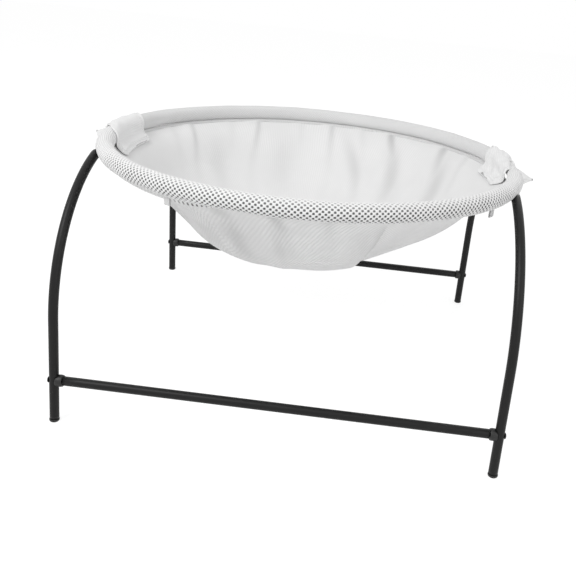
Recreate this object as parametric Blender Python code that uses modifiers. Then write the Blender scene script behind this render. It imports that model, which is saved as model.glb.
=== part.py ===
"""An elevated cat bed: a round mesh hammock on a frame of bent steel tube.

Metres, +Z up. The origin is on the floor below the middle of the ring.
+X is the right-hand side, -Y the front.
"""

import math

import bmesh
import bpy
import numpy as np
from mathutils import Matrix, Vector

# Steel tube, and the gap left between two solids that touch
TUBE_RADIUS = 0.0050
TUBE_WALL = 0.0010
SEAT_GAP = 0.0003
PRESS_GAP = 0.0006
OVERRUN = 0.0060
MERGE = 0.00001

# Ring: two half hoops that plug together at the left and right
RING_RADIUS = 0.2259
RING_HEIGHT = 0.2566
RING_JOINT_LENGTH = 0.0470
RING_SCREW_RADIUS = 0.0016
RING_SCREW_LENGTH = 0.0060
RING_SCREW_SETBACK = 0.0120

# Legs: a leaning straight, a long bend, a short bend, and a flattened tongue below the ring
FOOT_INSET_X = 0.0028
FOOT_INSET_Y = 0.0147
TONGUE_RING_ANGLE = math.radians(15.94)
LEG_LEAN = math.radians(3.6)
LEG_TOP_STRAIGHT = 0.0115
LEG_BEND_LEAN = math.radians(73.8)
LEG_TOP_BEND_RADIUS = 0.0310
TONGUE_THICKNESS = 0.0024
TONGUE_WIDTH = 0.0130
TONGUE_OVERHANG = 0.0100
TONGUE_HALF_FLAT = 0.0110
CRUSH_LENGTH = 0.0195

# Feet and cross-bars
CAP_HEIGHT = 0.0028
CAP_EDGE_RADIUS = 0.0012
CAP_STEM_LENGTH = 0.0120
BAR_HEIGHT = 0.0463
SADDLE_RADIUS = 0.0061
SADDLE_REACH = 0.0095
SADDLE_BACK = 0.0025
INSERT_LENGTH = 0.0140

# Screws
BAR_SCREW_RADIUS = 0.0020
BAR_HEAD_RADIUS = 0.0034
BAR_HEAD_HEIGHT = 0.0019
BAR_SCREW_BITE = 0.0110
TOP_SCREW_RADIUS = 0.0020
TOP_HEAD_RADIUS = 0.0036
TOP_HEAD_HEIGHT = 0.0022
TOP_SCREW_BITE = 0.0055
HEX_RADIUS = 0.0014
HEX_DEPTH = 0.0010
RIVET_NUT_RADIUS = 0.0031
RIVET_NUT_LENGTH = 0.0052

# Cloth: sleeves of thick spacer mesh, a thinner bowl and its seam
SLEEVE_RADIUS = 0.0092
SLEEVE_SLACK = 0.0009
NOTCH_DROP = 0.0060
BOWL_CLOTH = 0.0016
BOWL_DEPTH = 0.1145
BOWL_LEAN = 0.0105
FOLD_DEPTH = 0.0070
SEAM_ANGLE = math.radians(-122.0)
SEAM_STANDOFF = 0.0009
BINDING_WIDTH = 0.0050
BINDING_THICKNESS = 0.0010
BINDING_START = 0.0010
PATCH_GAP = 0.0006

# Cuffs: flaps of cloth that close over the ring's two joints
CUFF_CLOTH = 0.0020
CUFF_SLACK = 0.0006
CUFF_HINGE_GAP = 0.0006
CUFF_TAIL = 0.0150
CUFF_BASE_ANGLE = math.radians(-52.0)
PATCH_THICKNESS = 0.0010
PATCH_LENGTH = 0.0110

# Ears at the front sleeve's ends, and pull tabs below it
EAR_REACH = 0.0105
EAR_BASE_RADIUS = 0.0066
EAR_TIP_RADIUS = 0.0030
EAR_CLOTH = 0.0012
TAB_WIDTH = 0.0065
TAB_LENGTH = 0.0090
TAB_THICKNESS = 0.0016
TAB_EDGE_RADIUS = 0.0006

# Where things lie round the ring, in degrees from +X towards the back
BACK_SLEEVE = (21.6, 165.4)
FRONT_SLEEVE = (180.4, 366.4)
CUFFS = {"right": (5.6, 22.2), "left": (164.8, 181.0)}
EARS = {"left": 183.0, "right": 354.0}
TABS = {"left": 241.0, "right": 327.0}
BOWL_STEPS = 72
ARC_STEP = 6.0

# The bowl's section from its seam to its middle: shares of its depth, and of its radius where
# the cloth hangs freely and where it is pulled tight to the left and to the right
BOWL_DEPTH_SHARES = (0.0, 0.035, 0.09, 0.17, 0.28, 0.42, 0.56, 0.70, 0.83, 0.93, 0.985, 1.0)
BOWL_FULL_SHARES = (1.0, 0.973, 0.93, 0.887, 0.843, 0.79, 0.715, 0.61, 0.472, 0.313, 0.153, 0.0)
BOWL_LEFT_SHARES = (1.0, 0.973, 0.914, 0.836, 0.757, 0.688, 0.636, 0.578, 0.482, 0.344, 0.17, 0.0)
BOWL_RIGHT_SHARES = (1.0, 0.973, 0.927, 0.878, 0.82, 0.745, 0.648, 0.54, 0.435, 0.318, 0.16, 0.0)
# Where the cloth is tight: from and to an angle, and over how many degrees that fades
TIGHT_LEFT = (206.0, 238.0, 20.0)
TIGHT_RIGHT = (292.0, 340.0, 12.0)
LEAN_POWER = 1.6
# Folds of the bowl: the angle, the half width in degrees, and a share of the fold depth
FOLD_SHARES = (
    (45.0, 8.0, -0.6),
    (66.0, 7.0, -1.0),
    (89.0, 9.0, -0.5),
    (114.0, 8.0, -0.5),
    (136.0, 8.0, -0.6),
    (248.0, 7.0, 0.8),
    (259.0, 7.0, -0.6),
    (290.0, 7.0, 0.8),
    (316.0, 10.0, -0.3),
)

CORNERS = {
    "front_left": (-1, -1),
    "front_right": (1, -1),
    "back_left": (-1, 1),
    "back_right": (1, 1),
}
TUBE_SIDES_SETTING = 3

BORE_RADIUS = TUBE_RADIUS - TUBE_WALL
FOOT_HALF_X = RING_RADIUS - FOOT_INSET_X
FOOT_HALF_Y = RING_RADIUS - FOOT_INSET_Y
LEG_TOP_X = RING_RADIUS * math.cos(TONGUE_RING_ANGLE)
TONGUE_MIDDLE_Y = RING_RADIUS * math.sin(TONGUE_RING_ANGLE)
FLAT_START_Y = TONGUE_MIDDLE_Y + TONGUE_HALF_FLAT
TONGUE_HEIGHT = RING_HEIGHT - TUBE_RADIUS - SEAT_GAP - TONGUE_THICKNESS / 2
CUFF_RADIUS = SLEEVE_RADIUS + CUFF_SLACK + CUFF_CLOTH / 2


# Scene and materials


def clear_scene():
    """Takes every object out of the scene."""
    for old in list(bpy.data.objects):
        bpy.data.objects.remove(old)


def new_collection(name):
    """A collection in the scene, by name."""
    group = bpy.data.collections.new(name)
    bpy.context.scene.collection.children.link(group)
    return group


def make_material(name, colour, roughness, metallic=0.0):
    """A Principled material of one colour."""
    made = bpy.data.materials.new(name)
    made.use_nodes = True
    shader = made.node_tree.nodes["Principled BSDF"]
    shader.inputs["Base Color"].default_value = (*colour, 1.0)
    shader.inputs["Roughness"].default_value = roughness
    shader.inputs["Metallic"].default_value = metallic
    return made


clear_scene()
PARTS = new_collection("elevated_cat_bed")
CUTTERS = new_collection("cutters")
COATED_STEEL = make_material("coated_steel", (0.022, 0.022, 0.024), 0.45, 0.3)
BLACK_PLASTIC = make_material("black_plastic", (0.008, 0.008, 0.009), 0.5)
PLATED_STEEL = make_material("plated_steel", (0.35, 0.35, 0.36), 0.35, 1.0)
DARK_SCREW = make_material("dark_screw", (0.02, 0.02, 0.02), 0.4, 0.8)
SPACER_MESH = make_material("spacer_mesh", (0.80, 0.80, 0.80), 0.9)
BOWL_MESH = make_material("bowl_mesh", (0.76, 0.76, 0.76), 0.9)
WHITE_TAPE = make_material("white_tape", (0.72, 0.72, 0.72), 0.85)


# Making and joining


def add_object(name, mesh, material=None, group=None):
    """Puts a mesh in the scene as an object."""
    made = bpy.data.objects.new(name, mesh)
    (group or PARTS).objects.link(made)
    if material:
        mesh.materials.clear()
        mesh.materials.append(material)
    return made


def hide_cutter(cutter):
    """Marks an object as a cutter, which isn't part of the bed."""
    for group in list(cutter.users_collection):
        group.objects.unlink(cutter)
    CUTTERS.objects.link(cutter)
    cutter.hide_render = True
    cutter.display_type = "WIRE"
    return cutter


def from_bmesh(name, bm, material=None):
    """Ends a bmesh and makes it an object."""
    mesh = bpy.data.meshes.new(name)
    bm.to_mesh(mesh)
    bm.free()
    return add_object(name, mesh, material)


def rod(name, points, radius, material=None, caps=True):
    """A round rod or an open tube skin along points, as a welded mesh."""
    curve = bpy.data.curves.new(name, "CURVE")
    curve.dimensions = "3D"
    curve.bevel_depth = radius
    curve.bevel_resolution = TUBE_SIDES_SETTING
    curve.use_fill_caps = caps
    spline = curve.splines.new("POLY")
    spline.points.add(len(points) - 1)
    for slot, point in zip(spline.points, points):
        slot.co = (*point, 1.0)
    shape = bpy.data.objects.new(name + "_path", curve)
    PARTS.objects.link(shape)
    bpy.context.view_layer.update()
    evaluated = shape.evaluated_get(bpy.context.evaluated_depsgraph_get())
    mesh = bpy.data.meshes.new_from_object(evaluated)
    bpy.data.objects.remove(shape)
    bm = bmesh.new()
    bm.from_mesh(mesh)
    bmesh.ops.remove_doubles(bm, verts=bm.verts, dist=MERGE)
    bm.to_mesh(mesh)
    bm.free()
    mesh.name = name
    return add_object(name, mesh, material)


def thicken(made, thickness, offset):
    """Gives an open skin a wall of even thickness."""
    wall = made.modifiers.new("wall", "SOLIDIFY")
    wall.thickness = thickness
    wall.offset = offset
    wall.use_even_offset = True
    return made


def pipe(name, points, radius, wall, material):
    """A hollow tube along points, with open ends."""
    return thicken(rod(name, points, radius, material, caps=False), wall, -1.0)


def cut(made, *cutters):
    """Takes cutters out of a piece."""
    for cutter in cutters:
        hide_cutter(cutter)
        step = made.modifiers.new("cut", "BOOLEAN")
        step.operation = "DIFFERENCE"
        step.solver = "EXACT"
        step.object = cutter
    return made


def smooth(made):
    """Shades a round piece smooth, with its real edges kept sharp."""
    made.data.shade_smooth()
    made.data.set_sharp_from_angle(angle=math.radians(40.0))
    return made


def turn_to(direction):
    """The turn that carries +Z to a direction."""
    return Vector(direction).to_track_quat("Z", "Y").to_matrix().to_4x4()


def cylinder_between(bm, start, end, radius, sides=16, end_radius=None):
    """Adds a closed cylinder or cone from one point to another."""
    start, end = Vector(start), Vector(end)
    place = Matrix.Translation((start + end) / 2) @ turn_to(end - start)
    bmesh.ops.create_cone(
        bm,
        cap_ends=True,
        segments=sides,
        radius1=radius,
        radius2=radius if end_radius is None else end_radius,
        depth=(end - start).length,
        matrix=place,
    )


def cylinder(name, start, end, radius, material=None, sides=16):
    """A closed cylinder from one point to another, as an object."""
    bm = bmesh.new()
    cylinder_between(bm, start, end, radius, sides)
    return from_bmesh(name, bm, material)


# Places on the ring


def ring_place(degrees, out=0.0, up=0.0):
    """A point near the ring's centre line: outwards and upwards of it, at an angle."""
    angle = math.radians(degrees)
    reach = RING_RADIUS + out
    return Vector((reach * math.cos(angle), reach * math.sin(angle), RING_HEIGHT + up))


def ring_arc(start, end):
    """Points along the ring's centre line, about one every six degrees."""
    steps = max(2, round(abs(end - start) / ARC_STEP))
    return [ring_place(start + (end - start) * n / steps) for n in range(steps + 1)]


def spun(name, profile, start, end, steps, material, thickness):
    """Cloth with a section of (out, up) points, swept round the ring's axis."""
    bm = bmesh.new()
    verts = [bm.verts.new(ring_place(start, out, up)) for out, up in profile]
    edges = [bm.edges.new(pair) for pair in zip(verts, verts[1:])]
    bmesh.ops.spin(
        bm,
        geom=verts + edges,
        cent=(0, 0, 0),
        axis=(0, 0, 1),
        angle=math.radians(end - start),
        steps=steps,
    )
    bmesh.ops.remove_doubles(bm, verts=bm.verts, dist=MERGE)
    bmesh.ops.recalc_face_normals(bm, faces=bm.faces)
    return thicken(from_bmesh(name, bm, material), thickness, 0.0)


# Legs


def leg_straight_and_bend():
    """The length of a leg's lower straight and the radius of its long bend.

    Both follow from where the foot and the tongue are, and from the bend's two leans.
    """
    low, high = LEG_LEAN, LEG_BEND_LEAN
    bend_run = math.cos(low) - math.cos(high)
    bend_rise = math.sin(high) - math.sin(low)
    run = FOOT_HALF_Y - FLAT_START_Y - LEG_TOP_STRAIGHT
    run -= LEG_TOP_BEND_RADIUS * math.cos(high)
    rise = TONGUE_HEIGHT - LEG_TOP_BEND_RADIUS * (1.0 - math.sin(high))
    scale = math.cos(low) * bend_run - math.sin(low) * bend_rise
    straight = (rise * bend_run - run * bend_rise) / scale
    radius = (run * math.cos(low) - rise * math.sin(low)) / scale
    return straight, radius


def leg_points(side, front_back, start_height, tongue=True):
    """The leg's centre line, from its foot to its tongue's end, or to where it flattens."""
    low, high = LEG_LEAN, LEG_BEND_LEAN
    straight, bend_radius = leg_straight_and_bend()
    y, z = FOOT_HALF_Y, 0.0
    line = [(y - start_height * math.tan(low), start_height)]
    line.append((y - BAR_HEIGHT * math.tan(low), BAR_HEIGHT))
    y, z = y - straight * math.sin(low), straight * math.cos(low)
    line.append((y, z))
    for radius, first, last, steps in (
        (bend_radius, low, high, 10),
        (LEG_TOP_BEND_RADIUS, high, math.pi / 2, 4),
    ):
        for n in range(1, steps + 1):
            lean = first + (last - first) * n / steps
            line.append(
                (
                    y - radius * (math.cos(first) - math.cos(lean)),
                    z + radius * (math.sin(lean) - math.sin(first)),
                )
            )
        y, z = line[-1]
    if tongue:
        steps = 4
        run = FLAT_START_Y - y
        line += [(y + run * n / steps, z) for n in range(1, steps + 1)]
        line.append((TONGUE_MIDDLE_Y - TONGUE_OVERHANG, z))
    else:
        line = [point for point in line if point[0] > FLAT_START_Y + CRUSH_LENGTH]
    lean_in = foot_direction(side, front_back).x
    return [
        Vector((side * FOOT_HALF_X + lean_in * up, front_back * along, up))
        for along, up in line
    ]


def smooth_step(low, high, value):
    """0 below low, 1 above high, and a smooth climb between them."""
    along = min(1.0, max(0.0, (value - low) / (high - low)))
    return along * along * (3.0 - 2.0 * along)


def crush_tongue(leg, side, front_back, grow=0.0):
    """Presses the end of a leg flat, with a smooth change from the round tube."""
    thickness = (TONGUE_THICKNESS / 2 + grow) / (TUBE_RADIUS + grow)
    width = (TONGUE_WIDTH / 2 + grow) / (TUBE_RADIUS + grow)
    crush_start = FLAT_START_Y + CRUSH_LENGTH
    for vert in leg.data.vertices:
        along = front_back * vert.co.y
        if vert.co.z < TONGUE_HEIGHT - TUBE_RADIUS - OVERRUN:
            continue
        share = smooth_step(0.0, CRUSH_LENGTH, crush_start - along)
        middle = side * LEG_TOP_X
        up = vert.co.z - TONGUE_HEIGHT
        out = vert.co.x - middle
        vert.co.z = TONGUE_HEIGHT + up * (1.0 + (thickness - 1.0) * share)
        vert.co.x = middle + out * (1.0 + (width - 1.0) * share)


def foot_direction(side, front_back):
    """The way a leg's lower straight runs, for one unit of height."""
    lean_in = (FOOT_HALF_X - LEG_TOP_X) / TONGUE_HEIGHT
    return Vector((-side * lean_in, -front_back * math.tan(LEG_LEAN), 1.0))


def level_foot(leg, height, direction):
    """Cuts a leg's lower end level, by sliding its end points along the tube."""
    for vert in leg.data.vertices:
        if vert.co.z < height + TUBE_RADIUS:
            vert.co += direction * (height - vert.co.z)


def leg_cutter(name, side, front_back, grow, drop=0.0):
    """A leg made larger all round, and its tongue deeper, to cut its clearance."""
    made = rod(name, leg_points(side, front_back, BAR_HEIGHT / 2), TUBE_RADIUS + grow)
    crush_tongue(made, side, front_back, grow)
    slot_end = FLAT_START_Y + CRUSH_LENGTH / 2
    for vert in made.data.vertices:
        if vert.co.z < TONGUE_HEIGHT and front_back * vert.co.y < slot_end:
            vert.co.z -= drop
    return made


def bar_axis(side, front_back, from_leg):
    """A point on a cross-bar's axis, measured inwards from the leg's centre line."""
    foot = Vector((side * FOOT_HALF_X, front_back * FOOT_HALF_Y, 0.0))
    on_leg = foot + foot_direction(side, front_back) * BAR_HEIGHT
    return on_leg - Vector((side * from_leg, 0.0, 0.0))


def tongue_axis(side, front_back, height):
    """A point on the vertical axis of the screw through a leg's tongue."""
    return Vector((side * LEG_TOP_X, front_back * TONGUE_MIDDLE_Y, height))


def make_leg(corner, side, front_back):
    """One leg: a bent tube, open at its foot, with its top pressed flat and drilled."""
    foot = CAP_HEIGHT + SEAT_GAP
    points = leg_points(side, front_back, foot)
    leg = rod(corner + "_leg", points, TUBE_RADIUS, COATED_STEEL)
    level_foot(leg, foot, foot_direction(side, front_back))
    crush_tongue(leg, side, front_back)
    bore_path = leg_points(side, front_back, -OVERRUN, tongue=False)
    bore = rod(corner + "_leg_bore", bore_path, BORE_RADIUS)
    cross = cylinder(
        corner + "_cross_hole",
        bar_axis(side, front_back, -TUBE_RADIUS - OVERRUN),
        bar_axis(side, front_back, TUBE_RADIUS + OVERRUN),
        BAR_SCREW_RADIUS + SEAT_GAP,
        sides=14,
    )
    tongue_hole = cylinder(
        corner + "_tongue_hole",
        tongue_axis(side, front_back, TONGUE_HEIGHT - OVERRUN),
        tongue_axis(side, front_back, TONGUE_HEIGHT + TONGUE_THICKNESS),
        TOP_SCREW_RADIUS + SEAT_GAP,
        sides=14,
    )
    return smooth(cut(leg, bore, cross, tongue_hole))


def make_foot_cap(corner, side, front_back):
    """A foot plug: a flat head with a rounded edge, and a stem inside the tube."""
    foot = Vector((side * FOOT_HALF_X, front_back * FOOT_HALF_Y, 0.0))
    along = foot_direction(side, front_back)
    bm = bmesh.new()
    cylinder_between(bm, foot, foot + Vector((0, 0, CAP_HEIGHT)), TUBE_RADIUS, 24)
    lower = [e for e in bm.edges if all(v.co.z < CAP_HEIGHT / 2 for v in e.verts)]
    bmesh.ops.bevel(
        bm,
        geom=lower,
        offset=CAP_EDGE_RADIUS,
        segments=2,
        affect="EDGES",
        profile=0.5,
    )
    cap = from_bmesh(corner + "_foot_cap", bm, BLACK_PLASTIC)
    stem = cylinder(
        corner + "_cap_stem",
        foot + along * (CAP_HEIGHT / 2),
        foot + along * (CAP_HEIGHT + CAP_STEM_LENGTH),
        BORE_RADIUS - PRESS_GAP,
        sides=12,
    )
    hide_cutter(stem)
    join = cap.modifiers.new("stem", "BOOLEAN")
    join.operation = "UNION"
    join.solver = "EXACT"
    join.object = stem
    return smooth(cap)


# Cross-bars and their fixings


def make_bar(name, front_back):
    """A cross-bar between two legs: a straight open tube."""
    left = bar_axis(-1, front_back, SADDLE_REACH + SEAT_GAP)
    right = bar_axis(1, front_back, SADDLE_REACH + SEAT_GAP)
    return smooth(pipe(name, [left, right], TUBE_RADIUS, TUBE_WALL, COATED_STEEL))


def make_saddle(corner, side, front_back):
    """The moulded spacer between a bar's end and its leg, hollowed to fit the leg."""
    saddle = cylinder(
        corner + "_bar_saddle",
        bar_axis(side, front_back, SADDLE_BACK),
        bar_axis(side, front_back, SADDLE_REACH),
        SADDLE_RADIUS,
        BLACK_PLASTIC,
        sides=24,
    )
    hole = cylinder(
        corner + "_saddle_hole",
        bar_axis(side, front_back, -TUBE_RADIUS),
        bar_axis(side, front_back, SADDLE_REACH + OVERRUN),
        BAR_SCREW_RADIUS + SEAT_GAP,
        sides=12,
    )
    seat = leg_cutter(corner + "_saddle_seat", side, front_back, SEAT_GAP)
    return smooth(cut(saddle, seat, hole))


def make_bar_insert(corner, side, front_back):
    """The threaded plug in the end of a cross-bar."""
    insert = cylinder(
        corner + "_bar_insert",
        bar_axis(side, front_back, SADDLE_REACH + SEAT_GAP),
        bar_axis(side, front_back, SADDLE_REACH + SEAT_GAP + INSERT_LENGTH),
        BORE_RADIUS - PRESS_GAP,
        PLATED_STEEL,
        sides=12,
    )
    hole = cylinder(
        corner + "_insert_hole",
        bar_axis(side, front_back, 0.0),
        bar_axis(side, front_back, SADDLE_REACH + INSERT_LENGTH + OVERRUN),
        BAR_SCREW_RADIUS + SEAT_GAP,
        sides=12,
    )
    return smooth(cut(insert, hole))


def screw_solid(name, head_top, tip, head_radius, head_height, radius):
    """A screw with a low round head and a hexagon socket, from head to tip."""
    axis = (Vector(tip) - Vector(head_top)).normalized()
    bm = bmesh.new()
    cylinder_between(bm, head_top + axis * (head_height / 2), tip, radius, 12)
    shank = from_bmesh(name + "_shank", bm)
    bm = bmesh.new()
    under = head_top + axis * head_height
    crown = head_radius - head_height / 2
    cylinder_between(bm, head_top, under, crown, 20, end_radius=head_radius)
    head = from_bmesh(name, bm, DARK_SCREW)
    socket = cylinder(
        name + "_socket",
        head_top - axis * OVERRUN,
        head_top + axis * HEX_DEPTH,
        HEX_RADIUS,
        sides=6,
    )
    join = head.modifiers.new("shank", "BOOLEAN")
    join.operation = "UNION"
    join.solver = "EXACT"
    join.object = hide_cutter(shank)
    return smooth(cut(head, socket))


def make_bar_screw(corner, side, front_back):
    """The screw through a leg and its saddle into the end of a cross-bar."""
    outer = TUBE_RADIUS + SEAT_GAP
    return screw_solid(
        corner + "_bar_screw",
        bar_axis(side, front_back, -outer - BAR_HEAD_HEIGHT),
        bar_axis(side, front_back, SADDLE_REACH + BAR_SCREW_BITE),
        BAR_HEAD_RADIUS,
        BAR_HEAD_HEIGHT,
        BAR_SCREW_RADIUS,
    )


def make_top_screw(corner, side, front_back):
    """The screw from below through a leg's tongue into the ring."""
    under = TONGUE_HEIGHT - TONGUE_THICKNESS / 2 - SEAT_GAP
    return screw_solid(
        corner + "_top_screw",
        tongue_axis(side, front_back, under - TOP_HEAD_HEIGHT),
        tongue_axis(side, front_back, RING_HEIGHT - TUBE_RADIUS + TOP_SCREW_BITE),
        TOP_HEAD_RADIUS,
        TOP_HEAD_HEIGHT,
        TOP_SCREW_RADIUS,
    )


def make_rivet_nut(corner, side, front_back):
    """The threaded nut set in the underside of the ring, above a leg's tongue."""
    bottom = RING_HEIGHT - TUBE_RADIUS + TUBE_WALL
    nut = cylinder(
        corner + "_rivet_nut",
        tongue_axis(side, front_back, bottom),
        tongue_axis(side, front_back, bottom + RIVET_NUT_LENGTH),
        RIVET_NUT_RADIUS,
        PLATED_STEEL,
        sides=16,
    )
    hole = cylinder(
        corner + "_nut_hole",
        tongue_axis(side, front_back, bottom - OVERRUN),
        tongue_axis(side, front_back, bottom + RIVET_NUT_LENGTH + OVERRUN),
        TOP_SCREW_RADIUS + SEAT_GAP,
        sides=12,
    )
    return smooth(cut(nut, hole))


# Ring


def nut_seat(name, side, front_back):
    """The hole in the ring's underside for a rivet nut."""
    return cylinder(
        name,
        tongue_axis(side, front_back, RING_HEIGHT - TUBE_RADIUS - OVERRUN),
        tongue_axis(side, front_back, RING_HEIGHT),
        RIVET_NUT_RADIUS + SEAT_GAP,
        sides=16,
    )


def joint_screw_angle(side):
    """Where the joint screw is, just in front of the ring's left or right end."""
    setback = math.degrees(RING_SCREW_SETBACK / RING_RADIUS)
    return -setback if side > 0 else 180.0 + setback


def joint_screw_hole(name, side, grow):
    """A hole for a joint screw, from below into the ring's bore."""
    angle = joint_screw_angle(side)
    top = -TUBE_RADIUS + RING_SCREW_LENGTH + grow
    return cylinder(
        name,
        ring_place(angle, up=-TUBE_RADIUS - OVERRUN),
        ring_place(angle, up=top),
        RING_SCREW_RADIUS + grow,
        sides=12,
    )


def make_half_ring(name, front_back):
    """Half of the ring, drilled for its rivet nuts and, in front, for the joint screws."""
    end_gap = math.degrees(SEAT_GAP / 2 / RING_RADIUS)
    start = end_gap if front_back > 0 else 180.0 + end_gap
    points = ring_arc(start, start + 180.0 - 2.0 * end_gap)
    half = pipe(name, points, TUBE_RADIUS, TUBE_WALL, COATED_STEEL)
    for vert in half.data.vertices:
        if abs(vert.co.y) < TUBE_WALL:
            vert.co.y = front_back * SEAT_GAP / 2
    for side in (-1, 1):
        cut(half, nut_seat(name + "_nut_seat", side, front_back))
        if front_back < 0:
            cut(half, joint_screw_hole(name + "_screw_hole", side, SEAT_GAP))
    return smooth(half)


def make_joint_insert(name, side):
    """The bent plug inside the ends of the two half rings."""
    half_angle = math.degrees(RING_JOINT_LENGTH / 2 / RING_RADIUS)
    middle = 0.0 if side > 0 else 180.0
    points = [ring_place(middle + half_angle * n) for n in (-1, 0, 1)]
    insert = rod(name, points, BORE_RADIUS - PRESS_GAP, PLATED_STEEL)
    return smooth(cut(insert, joint_screw_hole(name + "_hole", side, SEAT_GAP)))


def make_joint_screw(name, side):
    """The headless screw that locks a joint plug, flush with the tube."""
    angle = joint_screw_angle(side)
    start = ring_place(angle, up=-TUBE_RADIUS)
    end = ring_place(angle, up=-TUBE_RADIUS + RING_SCREW_LENGTH)
    screw = cylinder(name, start, end, RING_SCREW_RADIUS, DARK_SCREW, sides=12)
    socket = cylinder(
        name + "_socket",
        start - Vector((0, 0, OVERRUN)),
        start + Vector((0, 0, HEX_DEPTH)),
        RING_SCREW_RADIUS / 2,
        sides=6,
    )
    return smooth(cut(screw, socket))


# Cloth


def make_sleeve(name, limits, front_back):
    """A sleeve of thick mesh on the ring, notched below for the legs' tongues."""
    wall = SLEEVE_RADIUS - TUBE_RADIUS - SLEEVE_SLACK
    sleeve = pipe(name, ring_arc(*limits), SLEEVE_RADIUS, wall, SPACER_MESH)
    for side in (-1, 1):
        notch = leg_cutter(
            name + "_notch", side, front_back, SLEEVE_SLACK, drop=NOTCH_DROP
        )
        cut(sleeve, notch)
    return smooth(sleeve)


def seam_place():
    """The bowl's edge, as (out, up) from the ring's centre line."""
    reach = SLEEVE_RADIUS + SEAM_STANDOFF
    return reach * math.cos(SEAM_ANGLE), reach * math.sin(SEAM_ANGLE)


def bowl_profile():
    """The freely hanging section as (out, up) points from the ring's centre line."""
    seam_out, seam_up = seam_place()
    radius = RING_RADIUS + seam_out
    return [
        (radius * share - RING_RADIUS, seam_up - BOWL_DEPTH * depth)
        for share, depth in zip(BOWL_FULL_SHARES, BOWL_DEPTH_SHARES)
    ]


def tightness(degrees, place):
    """How tight the cloth is at an angle, for one of the two tight places."""
    start, end, fade = place
    rise = smooth_step(start - fade, start, degrees)
    return rise * (1.0 - smooth_step(end, end + fade, degrees))


def bowl_radius(degrees, depth_share):
    """The bowl's radius at an angle and a depth, before its folds."""
    full, left, right = (
        float(np.interp(depth_share, BOWL_DEPTH_SHARES, shares))
        for shares in (BOWL_FULL_SHARES, BOWL_LEFT_SHARES, BOWL_RIGHT_SHARES)
    )
    share = full + (left - full) * tightness(degrees, TIGHT_LEFT)
    share += (right - full) * tightness(degrees, TIGHT_RIGHT)
    return share * (RING_RADIUS + seam_place()[0])


def fold_offset(degrees, depth_share):
    """How far a fold carries the cloth outwards, at an angle and a depth."""
    total = 0.0
    for middle, width, share in FOLD_SHARES:
        away = (degrees - middle + 180.0) % 360.0 - 180.0
        total += share * math.exp(-((away / width) ** 2))
    return FOLD_DEPTH * total * math.sin(math.pi * depth_share) ** 2


def make_bowl():
    """The hammock bowl: one cloth that hangs from the ring, tighter and fuller by turns."""
    bowl = spun(
        "hammock_bowl", bowl_profile(), 0.0, 360.0, BOWL_STEPS, BOWL_MESH, BOWL_CLOTH
    )
    top = RING_HEIGHT + seam_place()[1]
    for vert in bowl.data.vertices:
        radius = math.hypot(vert.co.x, vert.co.y)
        depth_share = min(1.0, max(0.0, (top - vert.co.z) / BOWL_DEPTH))
        if radius > BOWL_CLOTH:
            angle = math.degrees(math.atan2(vert.co.y, vert.co.x)) % 360.0
            moved = bowl_radius(angle, depth_share) + fold_offset(angle, depth_share)
            vert.co.x *= moved / radius
            vert.co.y *= moved / radius
        vert.co.x -= BOWL_LEAN * depth_share**LEAN_POWER
    return smooth(bowl)


def wall_frame():
    """The bowl's wall just below the seam: its start, its direction down, and its inner side."""
    first, second = (Vector(point) for point in bowl_profile()[:2])
    down = (second - first).normalized()
    inner = Vector((down.y, -down.x))
    return first, down, inner


def wall_strip(along_start, along_end, height):
    """Two (out, up) points of a strip that lies at a height above the bowl's inner side."""
    first, down, inner = wall_frame()
    return [
        first + down * along + inner * (BOWL_CLOTH / 2 + height)
        for along in (along_start, along_end)
    ]


def make_binding():
    """The tape sewn over the seam, inside the bowl."""
    strip = wall_strip(
        BINDING_START,
        BINDING_START + BINDING_WIDTH,
        PATCH_GAP + BINDING_THICKNESS / 2,
    )
    steps = BOWL_STEPS
    return smooth(
        spun("rim_seam_binding", strip, 0.0, 360.0, steps, WHITE_TAPE, BINDING_THICKNESS)
    )


def tail_height():
    """How high a cuff's tail lies above the bowl: over two patches and their gaps."""
    return 2.0 * PATCH_THICKNESS + 3.0 * PATCH_GAP + CUFF_CLOTH / 2


def flap_profile():
    """The flap's section: over the ring from its hinge, down inside, and along the bowl."""
    hinge = math.asin(CUFF_HINGE_GAP / 2 / CUFF_RADIUS)
    steps = 9
    points = []
    for n in range(steps + 1):
        angle = hinge + (math.pi - hinge) * n / steps
        points.append(Vector((math.cos(angle), math.sin(angle))) * CUFF_RADIUS)
    start, down, inner = wall_frame()
    line = start + inner * (BOWL_CLOTH / 2 + tail_height())
    meet = line + down * ((-CUFF_RADIUS - line.x) / down.x)
    points.append(meet)
    points.append(meet + down * CUFF_TAIL)
    return points, meet, down


def patch_profile(height):
    """A hook or loop patch's section below the flap's tail."""
    _, meet, _ = flap_profile()
    start, down, _ = wall_frame()
    first = (meet - start).dot(down) + CUFF_TAIL - PATCH_LENGTH
    return wall_strip(first, first + PATCH_LENGTH, height)


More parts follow.
